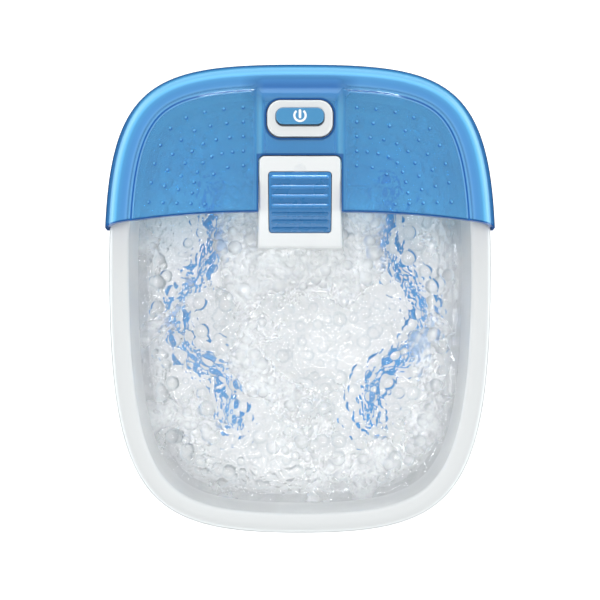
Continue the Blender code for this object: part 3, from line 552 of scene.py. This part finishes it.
def inset_of(x, y, line=half_outline(400)[0]):
    """Distance inwards from the rim's outer edge, for arrays of points inside it."""
    flat = np.stack([np.abs(np.ravel(x)), np.ravel(y)], axis=1)
    best = np.full(len(flat), 1e9)
    for start in range(0, len(line), 40):
        part = line[start:start + 41]
        gap = np.linalg.norm(flat[:, None] - part[None], axis=2).min(axis=1)
        best = np.minimum(best, gap)
    edge = np.interp(flat[:, 1], line[:, 1], line[:, 0])
    inside = (flat[:, 0] < edge) & (flat[:, 1] > FRONT_Y) & (flat[:, 1] < REAR_Y)
    return np.where(inside, best, -best).reshape(np.shape(x))


# ---- tub

def section_arc(centre, radius, start, end, steps):
    return [(centre[0] - radius[0] * math.cos(math.radians(a)),
             centre[1] + radius[1] * math.sin(math.radians(a)))
            for a in np.linspace(start, end, steps)]


def make_basin():
    """Floor, cove, wall, rolled rim and the underside, as one closed skin."""
    floor = section_arc((FLOOR_INSET, 61.0), (15.0, 15.0), -90, -6, 10)
    rim = round_path([(18.2, 140.0, 0), (17.6, RIM_Z - 0.6, 3.2), (9.5, RIM_Z + 0.5, 24.0),
                      (0.4, 148.0, 6.0), (0.0, 136.0, 0.6), (1.0, 136.0, 0)], 8)
    under_rim = [(2.6, 136.0), (2.6, 141.0), (4.8, 145.0), (9.0, 147.0), (13.6, 147.0),
                 (15.3, 144.6)]
    under = section_arc((FLOOR_INSET, 61.0), (17.8, 17.8), -6, -90, 8)
    rings = [ring_at(d, min(z, RIM_Z)) for d, z in floor + rim + under_rim + under]
    return loft("tub_basin", rings, SHADED_BASIN, angle=50.0)


def housing_inset(z):
    """How far the housing's leaning wall stands in from the outline at height z."""
    return 18.0 - (z - 14.0) * 13.8 / 122.5


def on_gland(tool):
    """Turn a piece built round +Z at the origin onto the cord gland's axis."""
    points, normals = half_outline(400)
    rear = points[:, 1] > WIDEST_Y
    line = (points + normals * housing_inset(GLAND_Z))[rear][::-1]
    y = np.interp(-GLAND_X, line[:, 0], line[:, 1])
    nx, ny = (np.interp(-GLAND_X, line[:, 0], normals[rear][::-1, i]) for i in (0, 1))
    turn = Vector((nx, -ny, 0.0)).to_track_quat("Z", "Y").to_matrix().to_4x4()
    tool.data.transform(Matrix.Translation((GLAND_X * MM, y * MM, GLAND_Z * MM)) @ turn)
    return tool


def make_housing():
    """Housing wall with a seam line, bottom plate, screw wells, foot sockets and air slots."""
    outer = round_path([(38.0, 6.0, 0), (27.0, 6.0, 9.0), (20.5, 8.5, 6.0), (18.0, 14.0, 9.0),
                        (housing_inset(25.0), 25.0, 0), (housing_inset(25.0) + 0.9, 25.4, 0),
                        (housing_inset(26.6) + 0.9, 26.3, 0), (housing_inset(26.7), 26.7, 0),
                        (4.2, 136.5, 3.0), (4.2, 142.5, 0)], 5)
    inner = [(6.8, 142.5), (6.8, 136.5), (20.6, 14.5), (22.6, 10.4), (27.6, 8.6), (38.0, 8.6)]
    base = loft("base_housing_shell", [ring_at(d, z) for d, z in outer + inner], SHELL)
    pads = [disc(spot, 6.6, 7.5, 12.0, SHELL) for spot in SCREWS]
    pads.append(on_gland(disc((0, 0), 10.0, -4.4, 2.0, SHELL)))
    combine(base, join("pads", pads, SHELL), "UNION")
    cuts = [disc(spot, 4.3, 4.0, 9.2, SHELL) for spot in SCREWS]
    cuts += [disc(spot, 4.4, 4.0, 11.0, SHELL) for spot in FEET]
    cuts += [prism("slot", rounded((1.5, 14.0), 1.4, (9.0 * (k - 2), MOTOR_Y), 4), 4.0, 11.0,
                   SHELL) for k in range(5)]
    cuts.append(on_gland(disc((0, 0), 5.6, -9.0, 6.0, SHELL)))
    holes = [disc(spot, 2.1, 4.0, 14.0, SHELL, 16) for spot in SCREWS]
    return carve(base, join("cuts", cuts, SHELL), join("holes", holes, SHELL))


def block_profile():
    """Side profile of the raised block, from its rear top edge forwards and down."""
    return round_path([(BLOCK_REAR, 177.5, 0), (108.0, 175.5, 12.0), (76.0, 165.3, 14.0),
                       (57.0, 148.3, 0), (50.5, 142.5, 0), (44.6, 137.1, 7.0), (33.3, 44.6, 0)],
                      7)


def drafted(name, profile, half, top_z, look):
    """Solid with the given side profile and drafted flanks."""
    rings = [[(s * (half + SIDE_DRAFT * (top_z - z)), y, z) for y, z in profile]
             for s in (-1, 1)]
    return loft(name, rings, look)


def make_console():
    """Raised block and the shelf behind it, with the holder's recess and a finger scoop."""
    profile = block_profile() + [(BLOCK_REAR, 44.6)]
    block = drafted("tub_console", profile, BLOCK_HALF, 180.0, BLOCK)

    def rear_corner(e):
        return all(abs(v.co.y - BLOCK_REAR * MM) < 1e-5 and abs(v.co.x) > 0.03
                   for v in e.verts) and abs(e.verts[0].co.z - e.verts[1].co.z) > 0.05
    bevel_where(block, rear_corner, 4.5, 8)

    bevel_where(block, lambda e: all(v.co.z > 0.0452 for v in e.verts) and sharp(e), 1.7, 4)
    back = [(41.3, 44.6), (29.4, 49.4), (24.7, 60.0), (16.9, 146.0), (13.3, 148.6),
            (15.1, 152.0), (22.8, CONSOLE_Z)]
    rear = [(110.0, 44.6)] + [(REAR_Y - d, z) for d, z in back] + [(110.0, CONSOLE_Z)]
    shelf = drafted("shelf", rear, CONSOLE_HALF, CONSOLE_Z + 3, WHITE)
    bevel_where(shelf, lambda e: all(v.co.z > 0.155 for v in e.verts) and sharp(e), 2.0, 3)
    combine(block, shelf, "UNION")
    half = HOLDER_HALF + 0.6
    plan = rounded((half, (HOLDER_REAR - HOLDER_FRONT) / 2 + 0.5), 3.2,
                   (0.0, (HOLDER_REAR + HOLDER_FRONT) / 2))
    recess = prism("recess", plan, 100.0, 200.0, WHITE)
    depth = [(HOLDER_REAR + 5, 161.0), (HOLDER_BEND, 150.3), (HOLDER_FRONT - 5, 128.0),
             (HOLDER_FRONT - 5, 190.0), (HOLDER_REAR + 5, 190.0)]
    combine(recess, prism("depth", depth, -40, 40, WHITE, along="x"), "INTERSECT")
    carve(block, recess,
          ball("scoop", (0, HOLDER_REAR + 0.2, 179.0), (9.0, 8.2, 4.6), WHITE, 32, 16),
          disc((0.0, BUTTON_Y), 4.0, 160, 175, WHITE, 24))

    def mouth(e):
        """Is the edge one of those round the top of the recess?"""
        y0, y1, near, corner = HOLDER_FRONT - 0.5, HOLDER_REAR + 0.5, 0.02, 3.3
        for v in e.verts:
            x, y, z = (c / MM for c in v.co)
            side = abs(x)
            on = (abs(side - half) < near and y0 - near < y < y1 + near) or (
                side < half + near and min(abs(y - y0), abs(y - y1)) < near) or (
                side > half - corner and (y > y1 - corner or y < y0 + corner))
            if not on or z < 145.0:
                return False
        return sharp(e, 38) and e.calc_length() > 2e-5
    bevel_where(block, mouth, 0.8, 3)
    return block


# ---- splash guard

def guard_skin(name, skirt, low, top, panel):
    """Closed dome: skirt, round shoulder, a small step down and a flat panel."""
    reach = 17.6 - skirt
    section = [(skirt, low), (skirt, (low + GUARD_SHOULDER) / 2)]
    section += section_arc((17.6, GUARD_SHOULDER), (reach, top - GUARD_SHOULDER), 0, 90, 22)
    section += [(19.5, top), (20.2, top - 0.1), (20.7, top - 0.4), (21.1, top - 0.9),
                (21.5, panel + 0.14), (22.0, panel), (23.0, panel)]
    return loft(name, [ring_at(d, z) for d, z in section], GUARD)


def swell(start, end, steps=12):
    """Smooth S-shaped step from one (position, height) to another."""
    return [(start[0] + (end[0] - start[0]) * t,
             start[1] + (end[1] - start[1]) * (0.5 - 0.5 * math.cos(math.pi * t)))
            for t in np.linspace(0, 1, steps + 1)]


def ridge_bar(name, lower, base, plateau, half, foot, rear_y):
    """Raised middle of the guard, flowing out of the panels and the rear shoulder."""
    slope = swell((-foot, base), (-half, plateau))
    shape = [(-foot, lower)] + slope + [(-x, z) for x, z in slope[::-1]] + [(foot, lower)]
    bar = prism(name, shape, 40.0, 193.0, GUARD, along="y")
    side = [(40.0, lower - 1), (rear_y + 14, lower - 1)]
    side += swell((rear_y + 11.5, base + 0.9), (rear_y, plateau + 0.01)) + [(40, plateau + 0.01)]
    return combine(bar, prism("side", side, -60, 60, GUARD, along="x"), "INTERSECT")


def dot_places():
    """Raised dots: nine stations along an inner outline, drawn in towards a point in rows."""
    ring = np.array(ring_at(34.9, 0.0, 1200))[:, :2]
    ring = ring[(ring[:, 0] > 47.5) & (ring[:, 1] > 82.0)]
    run = np.concatenate([[0], np.cumsum(np.linalg.norm(np.diff(ring, axis=0), axis=1))])
    focus = np.array([47.5, 79.1])
    places = []
    for j in range(9):
        start = np.array([np.interp(run[-1] * j / 8, run, ring[:, i]) for i in (0, 1)])
        for k in range(5 if j in (0, 4, 6, 8) else 4):
            x, y = start + (focus - start) * 0.148 * k
            places += [(x, y), (-x, y)]
    return places


def front_edge(x, z):
    """Where the guard's front edge is: straight in the middle, swept back at the sides."""
    return EDGE_Y - EDGE_BOW * max(abs(x) - EDGE_FLAT_HALF, 0) ** 2 - EDGE_LEAN * (GUARD_TOP - z)


def edge_cutter(name, back=0.0):
    """Everything in front of the guard's front edge, or of a line `back` behind it."""
    rings = []
    for z in (125.0, 190.0):
        edge = [(x, front_edge(x, z) + back, z) for x in np.linspace(-185, 185, 121)]
        rings.append([(-185, -215, z), (185, -215, z)] + edge[::-1])
    return loft(name, rings, GUARD)


def opening(name, half, radius, y):
    return prism(name, rounded(half, radius, (0.0, y), 12), 120, 195, GUARD)


def lipped_inside():
    """Space under the guard, drawn down along its cut edges so that a thin lip stands there."""
    inside = guard_skin("inside", -0.4, 130.0, GUARD_TOP - GUARD_WALL, PANEL_Z - GUARD_WALL)
    combine(inside, ridge_bar("inner", PANEL_Z - 6, PANEL_Z - 2.22, PLATEAU_Z - GUARD_WALL,
                              PLATEAU_HALF - 1.0, PLATEAU_FOOT - 1.0, REAR_Y - 30.1), "UNION")
    carve(inside, edge_cutter("front_lip", 1.5),
          opening("notch_lip", (NOTCH_HALF + 1.3, 41.3), 5.8, NOTCH_REAR - 40.0),
          opening("window_lip", (WINDOW_HALF[0] + 1.4, WINDOW_HALF[1] + 1.4),
                  WINDOW_CORNER + 1.4, WINDOW_Y))
    lower = guard_skin("lower", 2.4, 130.0, GUARD_TOP - LIP_DROP, PANEL_Z - LIP_DROP)
    combine(inside, lower, "UNION")
    skirt = loft("skirt", [ring_at(-0.4, 130.0), ring_at(-0.4, GUARD_SHOULDER)], GUARD)
    return combine(inside, skirt, "UNION")


def mark_cut_faces(shell):
    """Give the faces left by the front cut, the notch and the window the darker edge look."""
    shell.data.materials.append(EDGE)
    for polygon in shell.data.polygons:
        x, y, z = (c / MM for c in polygon.center)
        on_front = abs(y - front_edge(x, z)) < 0.4
        on_opening = (abs(x) < NOTCH_HALF + 0.2
                      and EDGE_Y - 8 < y < WINDOW_Y + WINDOW_HALF[1] + 0.5)
        if abs(polygon.normal.z) < 0.4 and z > 137.0 and (on_front or on_opening):
            polygon.material_index = 1


def make_guard():
    """The splash guard: one thin shell with a raised middle, dots, a notch and a window."""
    shell = guard_skin("splash_guard_shell", -2.6, GUARD_BOTTOM, GUARD_TOP, PANEL_Z)
    combine(shell, ridge_bar("ridge", PANEL_Z - 3, PANEL_Z - 0.02, PLATEAU_Z, PLATEAU_HALF,
                             PLATEAU_FOOT, REAR_Y - 28.3), "UNION")
    dots = join("dots", [ball("dot", (x, y, PANEL_Z - 0.2), (1.5, 1.5, 1.4), GUARD, 16, 12)
                         for x, y in dot_places()], GUARD)
    combine(shell, dots, "UNION")
    carve(shell, lipped_inside(), edge_cutter("edge"),
          opening("notch", (NOTCH_HALF, 40.0), 4.5, NOTCH_REAR - 40.0),
          opening("window", WINDOW_HALF, WINDOW_CORNER, WINDOW_Y))
    mark_cut_faces(shell)
    return smooth_shade(shell, 40.0)


# ---- controls

def bands(pairs, half, radius, y):
    """Rounded rectangles about (0, y), each drawn in by the first number of a pair."""
    return [[point + (z,) for point in rounded((half[0] - d, half[1] - d),
                                               max(radius - d, 0.4), (0.0, y), 12)]
            for d, z in pairs]


def make_controls():
    """Bezel ring, button cap with a slight crown, and a generic power symbol."""
    outer = round_path([(0.0, 168.3, 0), (0.0, BEZEL_TOP, 1.9), (3.0, BEZEL_TOP, 0)], 6)
    inner = round_path([(1.4, BEZEL_TOP, 0), (0.0, BEZEL_TOP, 0.8), (0.0, 168.3, 0)], 4)
    hole = (BUTTON_HALF[0] + 0.4, BUTTON_HALF[1] + 0.5)
    rings = bands(outer, BEZEL_HALF, 11.2, WINDOW_Y)
    rings += bands([(-d, z) for d, z in inner], hole, 6.5, BUTTON_Y - 0.3)
    bezel = loft("control_bezel_ring", rings, WHITE, closed=True)

    edge = round_path([(0.0, 174.5, 0), (0.0, BUTTON_TOP, 0.9), (2.0, BUTTON_TOP, 0)], 5)
    rings = bands(edge, (BUTTON_HALF[0], 6.8), 6.0, BUTTON_Y + 0.4)
    rings += [scaled(rings[-1], factor, (0.0, BUTTON_Y + 0.4),
                     BUTTON_TOP + 0.12 * (1 - factor ** 2)) for factor in (0.8, 0.55, 0.3, 0.1)]
    button = loft("power_button_cap", rings, BLUE)
    carve(button, disc((0.0, BUTTON_Y), 6.0, 170.0, 180.0, BLUE))

    angles = np.linspace(math.radians(128), math.radians(412), 40)
    outside, inside = ([(radius * math.cos(a), BUTTON_Y + 0.8 + radius * math.sin(a))
                        for a in angles] for radius in (5.6, 3.8))
    bar = rounded((1.05, 3.8), 1.0, (0.0, BUTTON_Y + 2.1), 6)
    strokes = [prism("stroke", line, BUTTON_TOP - 0.3, SYMBOL_TOP, PRINT)
               for line in (outside + inside[::-1], bar)]
    return bezel, button, join("power_symbol", strokes, PRINT)


def make_works():
    """Button stem and return spring, with room left for the button's travel."""
    side = ((1.2, 151.0), (1.5, 151.3), (1.5, 160.7), (2.5, 161.2), (2.5, 179.5), (2.2, 179.8))
    stem = loft("button_stem_pin", [[point + (z,) for point in circle((0.0, BUTTON_Y), r, 24)]
                                    for r, z in side], STEEL)
    turns, low, height, wire = 3.5, 168.8, 7.4, 0.45
    coil = []
    for t in np.linspace(0, 1, 113):
        way = 2 * math.pi * turns * t
        coil.append([(r * math.cos(way), BUTTON_Y + r * math.sin(way), low + height * t + up)
                     for r, up in circle((5.4, 0.0), wire, 10)])
    return stem, loft("button_spring_coil", coil, STEEL)


# ---- pumice holder

def holder_line(drop):
    """Side profile of the holder, `drop` below its face, rear to front."""
    return [(HOLDER_REAR, 175.3 - drop, 0), (HOLDER_BEND, 165.3 - drop, 9.0),
            (HOLDER_FRONT, 148.7 - drop, 0)]


def rib_bar(middle, way, up, half, radius):
    """One rib: a bar along X with a rounded section and rounded ends."""
    rings = []
    end = half - radius * (1 - np.cos(np.linspace(math.pi / 2, 0.15, 5)))
    for x in np.concatenate([-end[::-1], end]):
        room = min(1.0, max(0.08, (half - abs(x)) / radius))
        size = radius * math.sqrt(max(1 - (1 - room) ** 2, 0.01))
        ring = []
        for t in np.radians(np.linspace(-35, 215, 13)):
            p = middle + size * (1.1 * math.cos(t) * way + math.sin(t) * up)
            ring.append((x, p[0], p[1]))
        rings.append(ring)
    return loft("rib", rings, HOLDER)


def make_holder():
    """Bent plate with rounded edges, side lips and ribs across it."""
    top = round_path(holder_line(HOLDER_TOP), 8)
    under = round_path(holder_line(HOLDER_UNDERSIDE), 8)
    plate = prism("plate", top + under[::-1], -HOLDER_HALF, HOLDER_HALF, HOLDER, along="x")

    def vertical(e):
        a, b = (v.co / MM for v in e.verts)
        return abs(a.x - b.x) < 0.01 and abs(a.y - b.y) < 0.01 and abs(a.z - b.z) > 2.5
    bevel_where(plate, vertical, 2.6, 5)
    bevel_where(plate, lambda e: sharp(e) and e.calc_length() > 1e-5, 0.6, 3)
    parts = [plate]
    lips = round_path(holder_line(11.0), 8)
    for side in (-1, 1):
        low, high = sorted((side * (HOLDER_HALF - 2.4), side * (HOLDER_HALF - 0.2)))
        parts.append(prism("lip", round_path(holder_line(2.4), 8) + lips[::-1], low, high,
                           HOLDER, along="x"))
    path = [np.array(p[:2]) for p in holder_line(HOLDER_TOP)]
    upper = np.linalg.norm(path[1] - path[0])
    for k in range(RIB_COUNT):
        along = RIB_START + RIB_PITCH * k
        a, b, rest = ((path[0], path[1], along) if along < upper
                      else (path[1], path[2], along - upper))
        way = (b - a) / np.linalg.norm(b - a)
        up = np.array([way[1], -way[0]]) * (1 if way[0] < 0 else -1)
        drop = 0.6 if abs(along - upper) < 3.0 else 0.0
        parts.append(rib_bar(a + way * rest - up * drop, way, up, HOLDER_HALF - RIB_RADIUS,
                             RIB_RADIUS))
    return join("pumice_holder_block", parts, HOLDER)


def make_stone():
    """Pumice under the holder: a rough block with a slightly uneven surface."""
    top = [(HOLDER_REAR - 3, 174.0), (HOLDER_BEND, 165.3), (HOLDER_FRONT + 3, 151.2)]
    side = [(y, z - 3.9) for y, z in top] + [(y, z - 12.0) for y, z in top[::-1]]
    block = prism("pumice_stone_block", side, -HOLDER_HALF + 3.1, HOLDER_HALF - 3.1, PUMICE,
                  along="x")
    bevel_where(block, lambda e: sharp(e, 30), 1.0, 2)
    step = block.modifiers.new("grain", "REMESH")
    step.mode, step.voxel_size = "VOXEL", 0.0008
    bake(block).data.materials.clear()
    block.data.materials.append(PUMICE)
    count = len(block.data.vertices)
    places, normals = np.zeros(count * 3), np.zeros(count * 3)
    block.data.vertices.foreach_get("co", places)
    block.data.vertices.foreach_get("normal", normals)
    places = places.reshape(-1, 3)
    waves = np.sin(places @ np.array([1900.0, 700.0, 1300.0])) * np.sin(
        places @ np.array([-800.0, 2100.0, 900.0]) + 1.0)
    places += normals.reshape(-1, 3) * (waves[:, None] - 1) * 0.00018
    block.data.vertices.foreach_set("co", places.ravel())
    return smooth_shade(block, 60.0)


# ---- bubble strips

def make_strip(side, name):
    """Bubble strip: a channel with round shoulders along a curve, with rows of air holes."""
    half, high, wall = 6.5, 5.5, 1.8
    outer = round_path([(-half, 0, 0), (-half, high, 2.6), (half, high, 2.6), (half, 0, 0)], 5)
    section = outer + [(half - wall, 0), (half - wall, high - wall), (-half + wall, high - wall),
                       (-half + wall, 0)]
    line = smooth_line([(side * x, y, FLOOR_Z + 0.3) for x, y in STRIP_PATH], 9)

    def beside(i, shift):
        """Point of the line, moved sideways."""
        way = line[min(i + 1, len(line) - 1)] - line[max(i - 1, 0)]
        return line[i] + np.array([way[1], -way[0], 0.0]) / np.linalg.norm(way) * shift
    strip = loft(name, [[beside(i, a) + np.array([0, 0, b]) for a, b in section]
                        for i in range(len(line))], STRIP)
    holes = [disc(beside(i, shift), 0.7, FLOOR_Z + 3.0, FLOOR_Z + 8.0, STRIP, 8)
             for i in range(4, len(line) - 2, 3)
             for shift in ((-2.6, 2.6) if i % 2 else (0.0,))]
    return smooth_shade(carve(strip, join("holes", holes, STRIP)))


# ---- water (not part of the object)

def lattice(x, y, size, seed):
    """Smooth value noise on a grid of cells `size` wide, from 0 to 1."""
    rng = np.random.default_rng(seed)
    table = rng.random((64, 64))
    u, v = x / size + 400.0, y / size + 400.0
    i, j = np.floor(u).astype(int), np.floor(v).astype(int)
    a, b = u - i, v - j
    a, b = a * a * (3 - 2 * a), b * b * (3 - 2 * b)
    i0, j0, i1, j1 = i % 64, j % 64, (i + 1) % 64, (j + 1) % 64
    return ((table[i0, j0] * (1 - a) + table[i1, j0] * a) * (1 - b)
            + (table[i0, j1] * (1 - a) + table[i1, j1] * a) * b)


def make_water():
    """Bubbling water surface: waves, swirls and a crowd of domed bubbles, calm by the walls."""
    pitch, edge_gap = 0.62, 20.2
    xs = np.arange(-150.0, 150.0 + pitch, pitch)
    ys = np.arange(-182.0, 181.0 + pitch, pitch)
    x, y = np.meshgrid(xs, ys)
    deep = inset_of(x, y)
    lively = np.clip((deep - 27.0) / 14.0, 0.12, 1.0)
    bend = [lattice(x, y, size, seed) - 0.5
            for size, seed in ((33.0, 3), (12.0, 4), (31.0, 5), (13.0, 6))]
    wx, wy = x + 16 * bend[0] + 7 * bend[1], y + 16 * bend[2] + 7 * bend[3]
    swirl, fine, thin = (1.0 - np.abs(2 * lattice(wx * a, wy * b, size, seed) - 1)
                         for a, b, size, seed in ((1.0, 1.0, 15.0, 7), (1.3, 1.0, 6.5, 8),
                                                  (1.0, 1.2, 3.4, 13)))
    height = lively * (4.0 * (lattice(wx, wy, 26.0, 10) - 0.5) + 2.6 * swirl ** 2
                       + 2.0 * fine ** 2 + 1.6 * thin ** 2
                       + 0.9 * (lattice(wx, wy, 1.9, 12) - 0.5))
    height += 6.0 * np.exp(-(x / 60.0) ** 2 - ((y + 20.0) / 95.0) ** 2)
    mound = np.exp(-(x / 38.0) ** 4 - ((y - 39.0) / 14.0) ** 2)
    height += mound * (8.0 + 14.0 * lattice(wx, wy, 7.0, 14))
    rng = np.random.default_rng(11)
    count = 5200
    radius = 0.8 + 6.0 * rng.random(count) ** 6.0
    px, py = rng.uniform(-140, 140, count), rng.uniform(-172, 176, count)
    room = inset_of(px, py)
    for r, cx, cy, edge in sorted(zip(radius, px, py, room)):
        if edge < 20.0 + r or (edge < 34.0 and r > 1.6 + (edge - 20.0) * 0.1):
            continue
        i0, i1 = np.searchsorted(xs, (cx - r, cx + r))
        j0, j1 = np.searchsorted(ys, (cy - r, cy + r))
        if i1 <= i0 or j1 <= j0:
            continue
        gap = ((x[j0:j1, i0:i1] - cx) / r) ** 2 + ((y[j0:j1, i0:i1] - cy) / r) ** 2
        level = height[(j0 + j1) // 2, (i0 + i1) // 2]
        dome = level - 0.25 * r + 0.95 * r * np.sqrt(np.clip(1 - gap, 0, None))
        patch = height[j0:j1, i0:i1]
        height[j0:j1, i0:i1] = np.where(gap < 1, np.maximum(patch, dome), patch)
    index = -np.ones(x.shape, int)
    keep = deep > edge_gap
    index[keep] = np.arange(keep.sum())
    vertices = np.stack([x[keep], y[keep], WATER_Z + height[keep]], axis=1) * MM
    quads = np.stack([index[:-1, :-1], index[:-1, 1:], index[1:, 1:], index[1:, :-1]],
                     axis=-1).reshape(-1, 4)
    quads = quads[(quads >= 0).all(axis=1)]
    mesh = bpy.data.meshes.new("water")
    mesh.vertices.add(len(vertices))
    mesh.vertices.foreach_set("co", vertices.astype(np.float32).ravel())
    mesh.loops.add(quads.size)
    mesh.loops.foreach_set("vertex_index", quads.astype(np.int32).ravel())
    mesh.polygons.add(len(quads))
    mesh.polygons.foreach_set("loop_start", np.arange(0, quads.size, 4, dtype=np.int32))
    mesh.update(calc_edges=True)
    mesh.validate()
    mesh.shade_smooth()
    return add_object("water", mesh, water_look())


def water_look():
    """Clear water that turns whiter in patches of foam, and most of all over the foot area by the
    block, where the extra froth is partly painted light lifting the shade beside the block. Steep
    faces are painted a little grey, a painted shade.
    """
    g = Graph("bubbling_water")
    x, y, _ = g.split(g.place())
    # Extra froth at and beside the block's foot: partly froth, partly painted light over the
    # block's shade.
    foot = g.times(g.remap(g.size(x), 0.080, 0.050),
                   g.remap(g.size(g.minus(y, 0.05)), 0.055, 0.025, 0.0, 0.5))
    foam = g.plus(g.remap(g.noise(16.0, 5.0, 0.6), 0.45, 0.66, 0.09, 0.46), foot)
    # Painted shade: steep wave and bubble faces grey what shows through them.
    steep = g.add("ShaderNodeLayerWeight", Blend=0.5).outputs["Facing"]
    tint = g.blend(g.remap(steep, 0.08, 0.45), (1.0, 1.0, 1.0, 1), (0.82, 0.86, 0.88, 1))
    bend = g.add("ShaderNodeBsdfRefraction", Color=tint, IOR=1.33, Roughness=0.0)
    through = g.add("ShaderNodeBsdfTransparent", Color=(0.99, 0.995, 1.0, 1))
    clear = g.mix(g.add("ShaderNodeLightPath").outputs["Is Shadow Ray"], bend.outputs[0],
                  through.outputs[0])
    froth = g.add("ShaderNodeBsdfDiffuse", Color=(0.95, 0.97, 0.98, 1))
    gloss = g.add("ShaderNodeBsdfGlossy", Color=(1, 1, 1, 1), Roughness=0.04)
    sheen = g.add("ShaderNodeFresnel", IOR=1.55).outputs[0]
    return g.close(g.mix(sheen, g.mix(foam, clear, froth.outputs[0]), gloss.outputs[0]))


# ---- assembly

def keep_cad_nodes():
    """Give every carried-over CAD node the look of its material slot."""
    slots = {s["node"]: s["material_slot"] for s in frame["record"]["subparts"]}
    for name, node in nodes.items():
        node.data.materials.clear()
        node.data.materials.append(SLOT_LOOKS[slots[name]])
        for polygon in node.data.polygons:
            polygon.material_index = 0
        smooth_shade(node, 32.0)


def stand_in(made, body, slot, *replaced):
    """Declare a piece: the body it rides on and the CAD nodes it stands for; `slot` is not used.
    """
    weigh_normals(made)
    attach(made, body)
    if replaced:
        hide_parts(*replaced)


keep_cad_nodes()
stand_in(make_basin(), "bath", "white_abs", "tub")
stand_in(make_console(), "bath", "white_abs", "tub")
stand_in(make_housing(), "bath", "white_abs", "base_housing")
guard = make_guard()
stand_in(guard, "guard", "blue_clear_plastic", "splash_guard")
bezel, button, symbol = make_controls()
stand_in(bezel, "bath", "white_abs", "control_bezel")
stand_in(button, "button", "blue_abs", "power_button")
stand_in(symbol, "button", "white_abs")
stem, spring = make_works()
stand_in(stem, "button", "steel", "button_stem")
stand_in(spring, "bath", "steel", "button_return_spring")
holder = make_holder()
stand_in(holder, "pumice", "blue_abs", "pumice_holder")
stand_in(make_stone(), "pumice", "pumice", "pumice_stone")
for side, name in ((-1, "bubble_strip_left"), (1, "bubble_strip_right")):
    stand_in(make_strip(side, name + "_channel"), "bath", "strip_blue", name)
water = make_water()


# ---- floor, light and camera

def make_floor():
    """Pale floor that glows a little and takes shadows, unseen by the object's reflections."""
    g = Graph("pale_floor")
    base = g.add("ShaderNodeBsdfDiffuse", Color=(0.9, 0.9, 0.9, 1))
    glow = g.add("ShaderNodeEmission", Color=(1, 1, 1, 1), Strength=0.55)
    both = g.add("ShaderNodeAddShader")
    for socket, shader in zip(both.inputs, (base, glow)):
        g.feed(socket, shader.outputs[0])
    half = 6000.0
    floor = piece("floor", [(-half, -half, 0), (half, -half, 0), (half, half, 0),
                            (-half, half, 0)], [(0, 1, 2, 3)], g.close(both.outputs[0]))
    floor.visible_glossy = floor.visible_diffuse = False


def area_light(name, place, aim, size, power, only_on=None, glossy=True, diffuse=True):
    """Soft light, in metres and watts, that may fall on one object alone."""
    data = bpy.data.lights.new(name, "AREA")
    data.shape, data.size, data.size_y, data.energy = "RECTANGLE", *size, power
    made = add_object(name, data)
    made.location = place
    made.rotation_mode = "QUATERNION"
    made.rotation_quaternion = (Vector(aim) - Vector(place)).to_track_quat("-Z", "Y")
    made.visible_glossy, made.visible_diffuse = glossy, diffuse
    if only_on:
        group = bpy.data.collections.new(only_on.name + "_only")
        group.objects.link(only_on)
        made.light_linking.receiver_collection = group


def make_world():
    """Light tent: a bright band round the horizon, dimmer to the front, dim overhead. The
    stops give the brightness by height, from -1 straight down to 1 straight up."""
    g = Graph("studio", bpy.data.worlds, "ShaderNodeOutputWorld")
    _, y, z = g.split(g.add("ShaderNodeTexCoord").outputs["Generated"])
    height = g.remap(z, -1.0, 1.0)
    sides, rear = (
        g.ramp(height, [((up + 1) / 2, (level * 0.230, level * 0.245, level * 0.25))
                        for up, level in stops])
        for stops in (((-0.34, 0.05), (-0.26, 3.4), (0.14, 3.4), (0.22, 0.9), (0.60, 0.35),
                       (1.0, 0.25)),
                      ((-0.42, 0.05), (-0.28, 2.4), (0.34, 2.4), (0.60, 0.6), (0.80, 0.25),
                       (1.0, 0.25))))
    light = g.add("ShaderNodeBackground", Color=g.blend(g.remap(y, 0.55, 0.92), sides, rear),
                  Strength=g.remap(y, -0.92, -0.5, 2.8, 4.0))
    bpy.context.scene.world = g.close(light.outputs[0])


def make_studio(guard, holder, water):
    """Two fills, and lights for the guard's creases, the holder's ribs and the water's glints."""
    make_world()
    middle = (0, 0, 0.15)
    area_light("overhead", (0.0, 0.0, 2.0), middle, (1.5, 1.5), 26.0, glossy=False)
    area_light("front_fill", (0.0, -1.5, 1.3), middle, (1.2, 0.8), 2.0, glossy=False)
    for side in (-1, 1):
        area_light("crease_light", (side * 0.085, -1.15, 1.15), middle, (0.14, 0.45), 10.0,
                   guard, diffuse=False)
    area_light("rib_light", (0.0, 1.3, 0.75), (0, 0.08, 0.16), (0.8, 0.3), 32.0, holder)
    for x, y, size in ((-0.55, -0.35, (0.05, 0.8)), (-0.22, 0.5, (0.7, 0.05)),
                       (0.12, -0.6, (0.6, 0.05)), (0.38, 0.1, (0.05, 0.8)),
                       (0.8, -0.2, (0.05, 0.8)), (-0.9, 0.2, (0.05, 0.8))):
        area_light("glint", (x, y, 1.5), (x, y, 0.1), size, 6.0, water, diffuse=False)
    bpy.context.scene.view_settings.view_transform = "Standard"


def make_camera():
    """Camera straight above the rim, a hair to the front so that other views turn from there."""
    lens_mm, sensor_mm, distance = 91.4, 36.0, 1.3
    data = bpy.data.cameras.new("camera")
    data.lens, data.sensor_width = lens_mm, sensor_mm
    made = add_object("camera", data)
    made.location = (0.0, -0.0002, RIM_Z * MM + distance)
    bpy.context.scene.camera = made


make_floor()
make_studio(guard, holder, water)
make_camera()
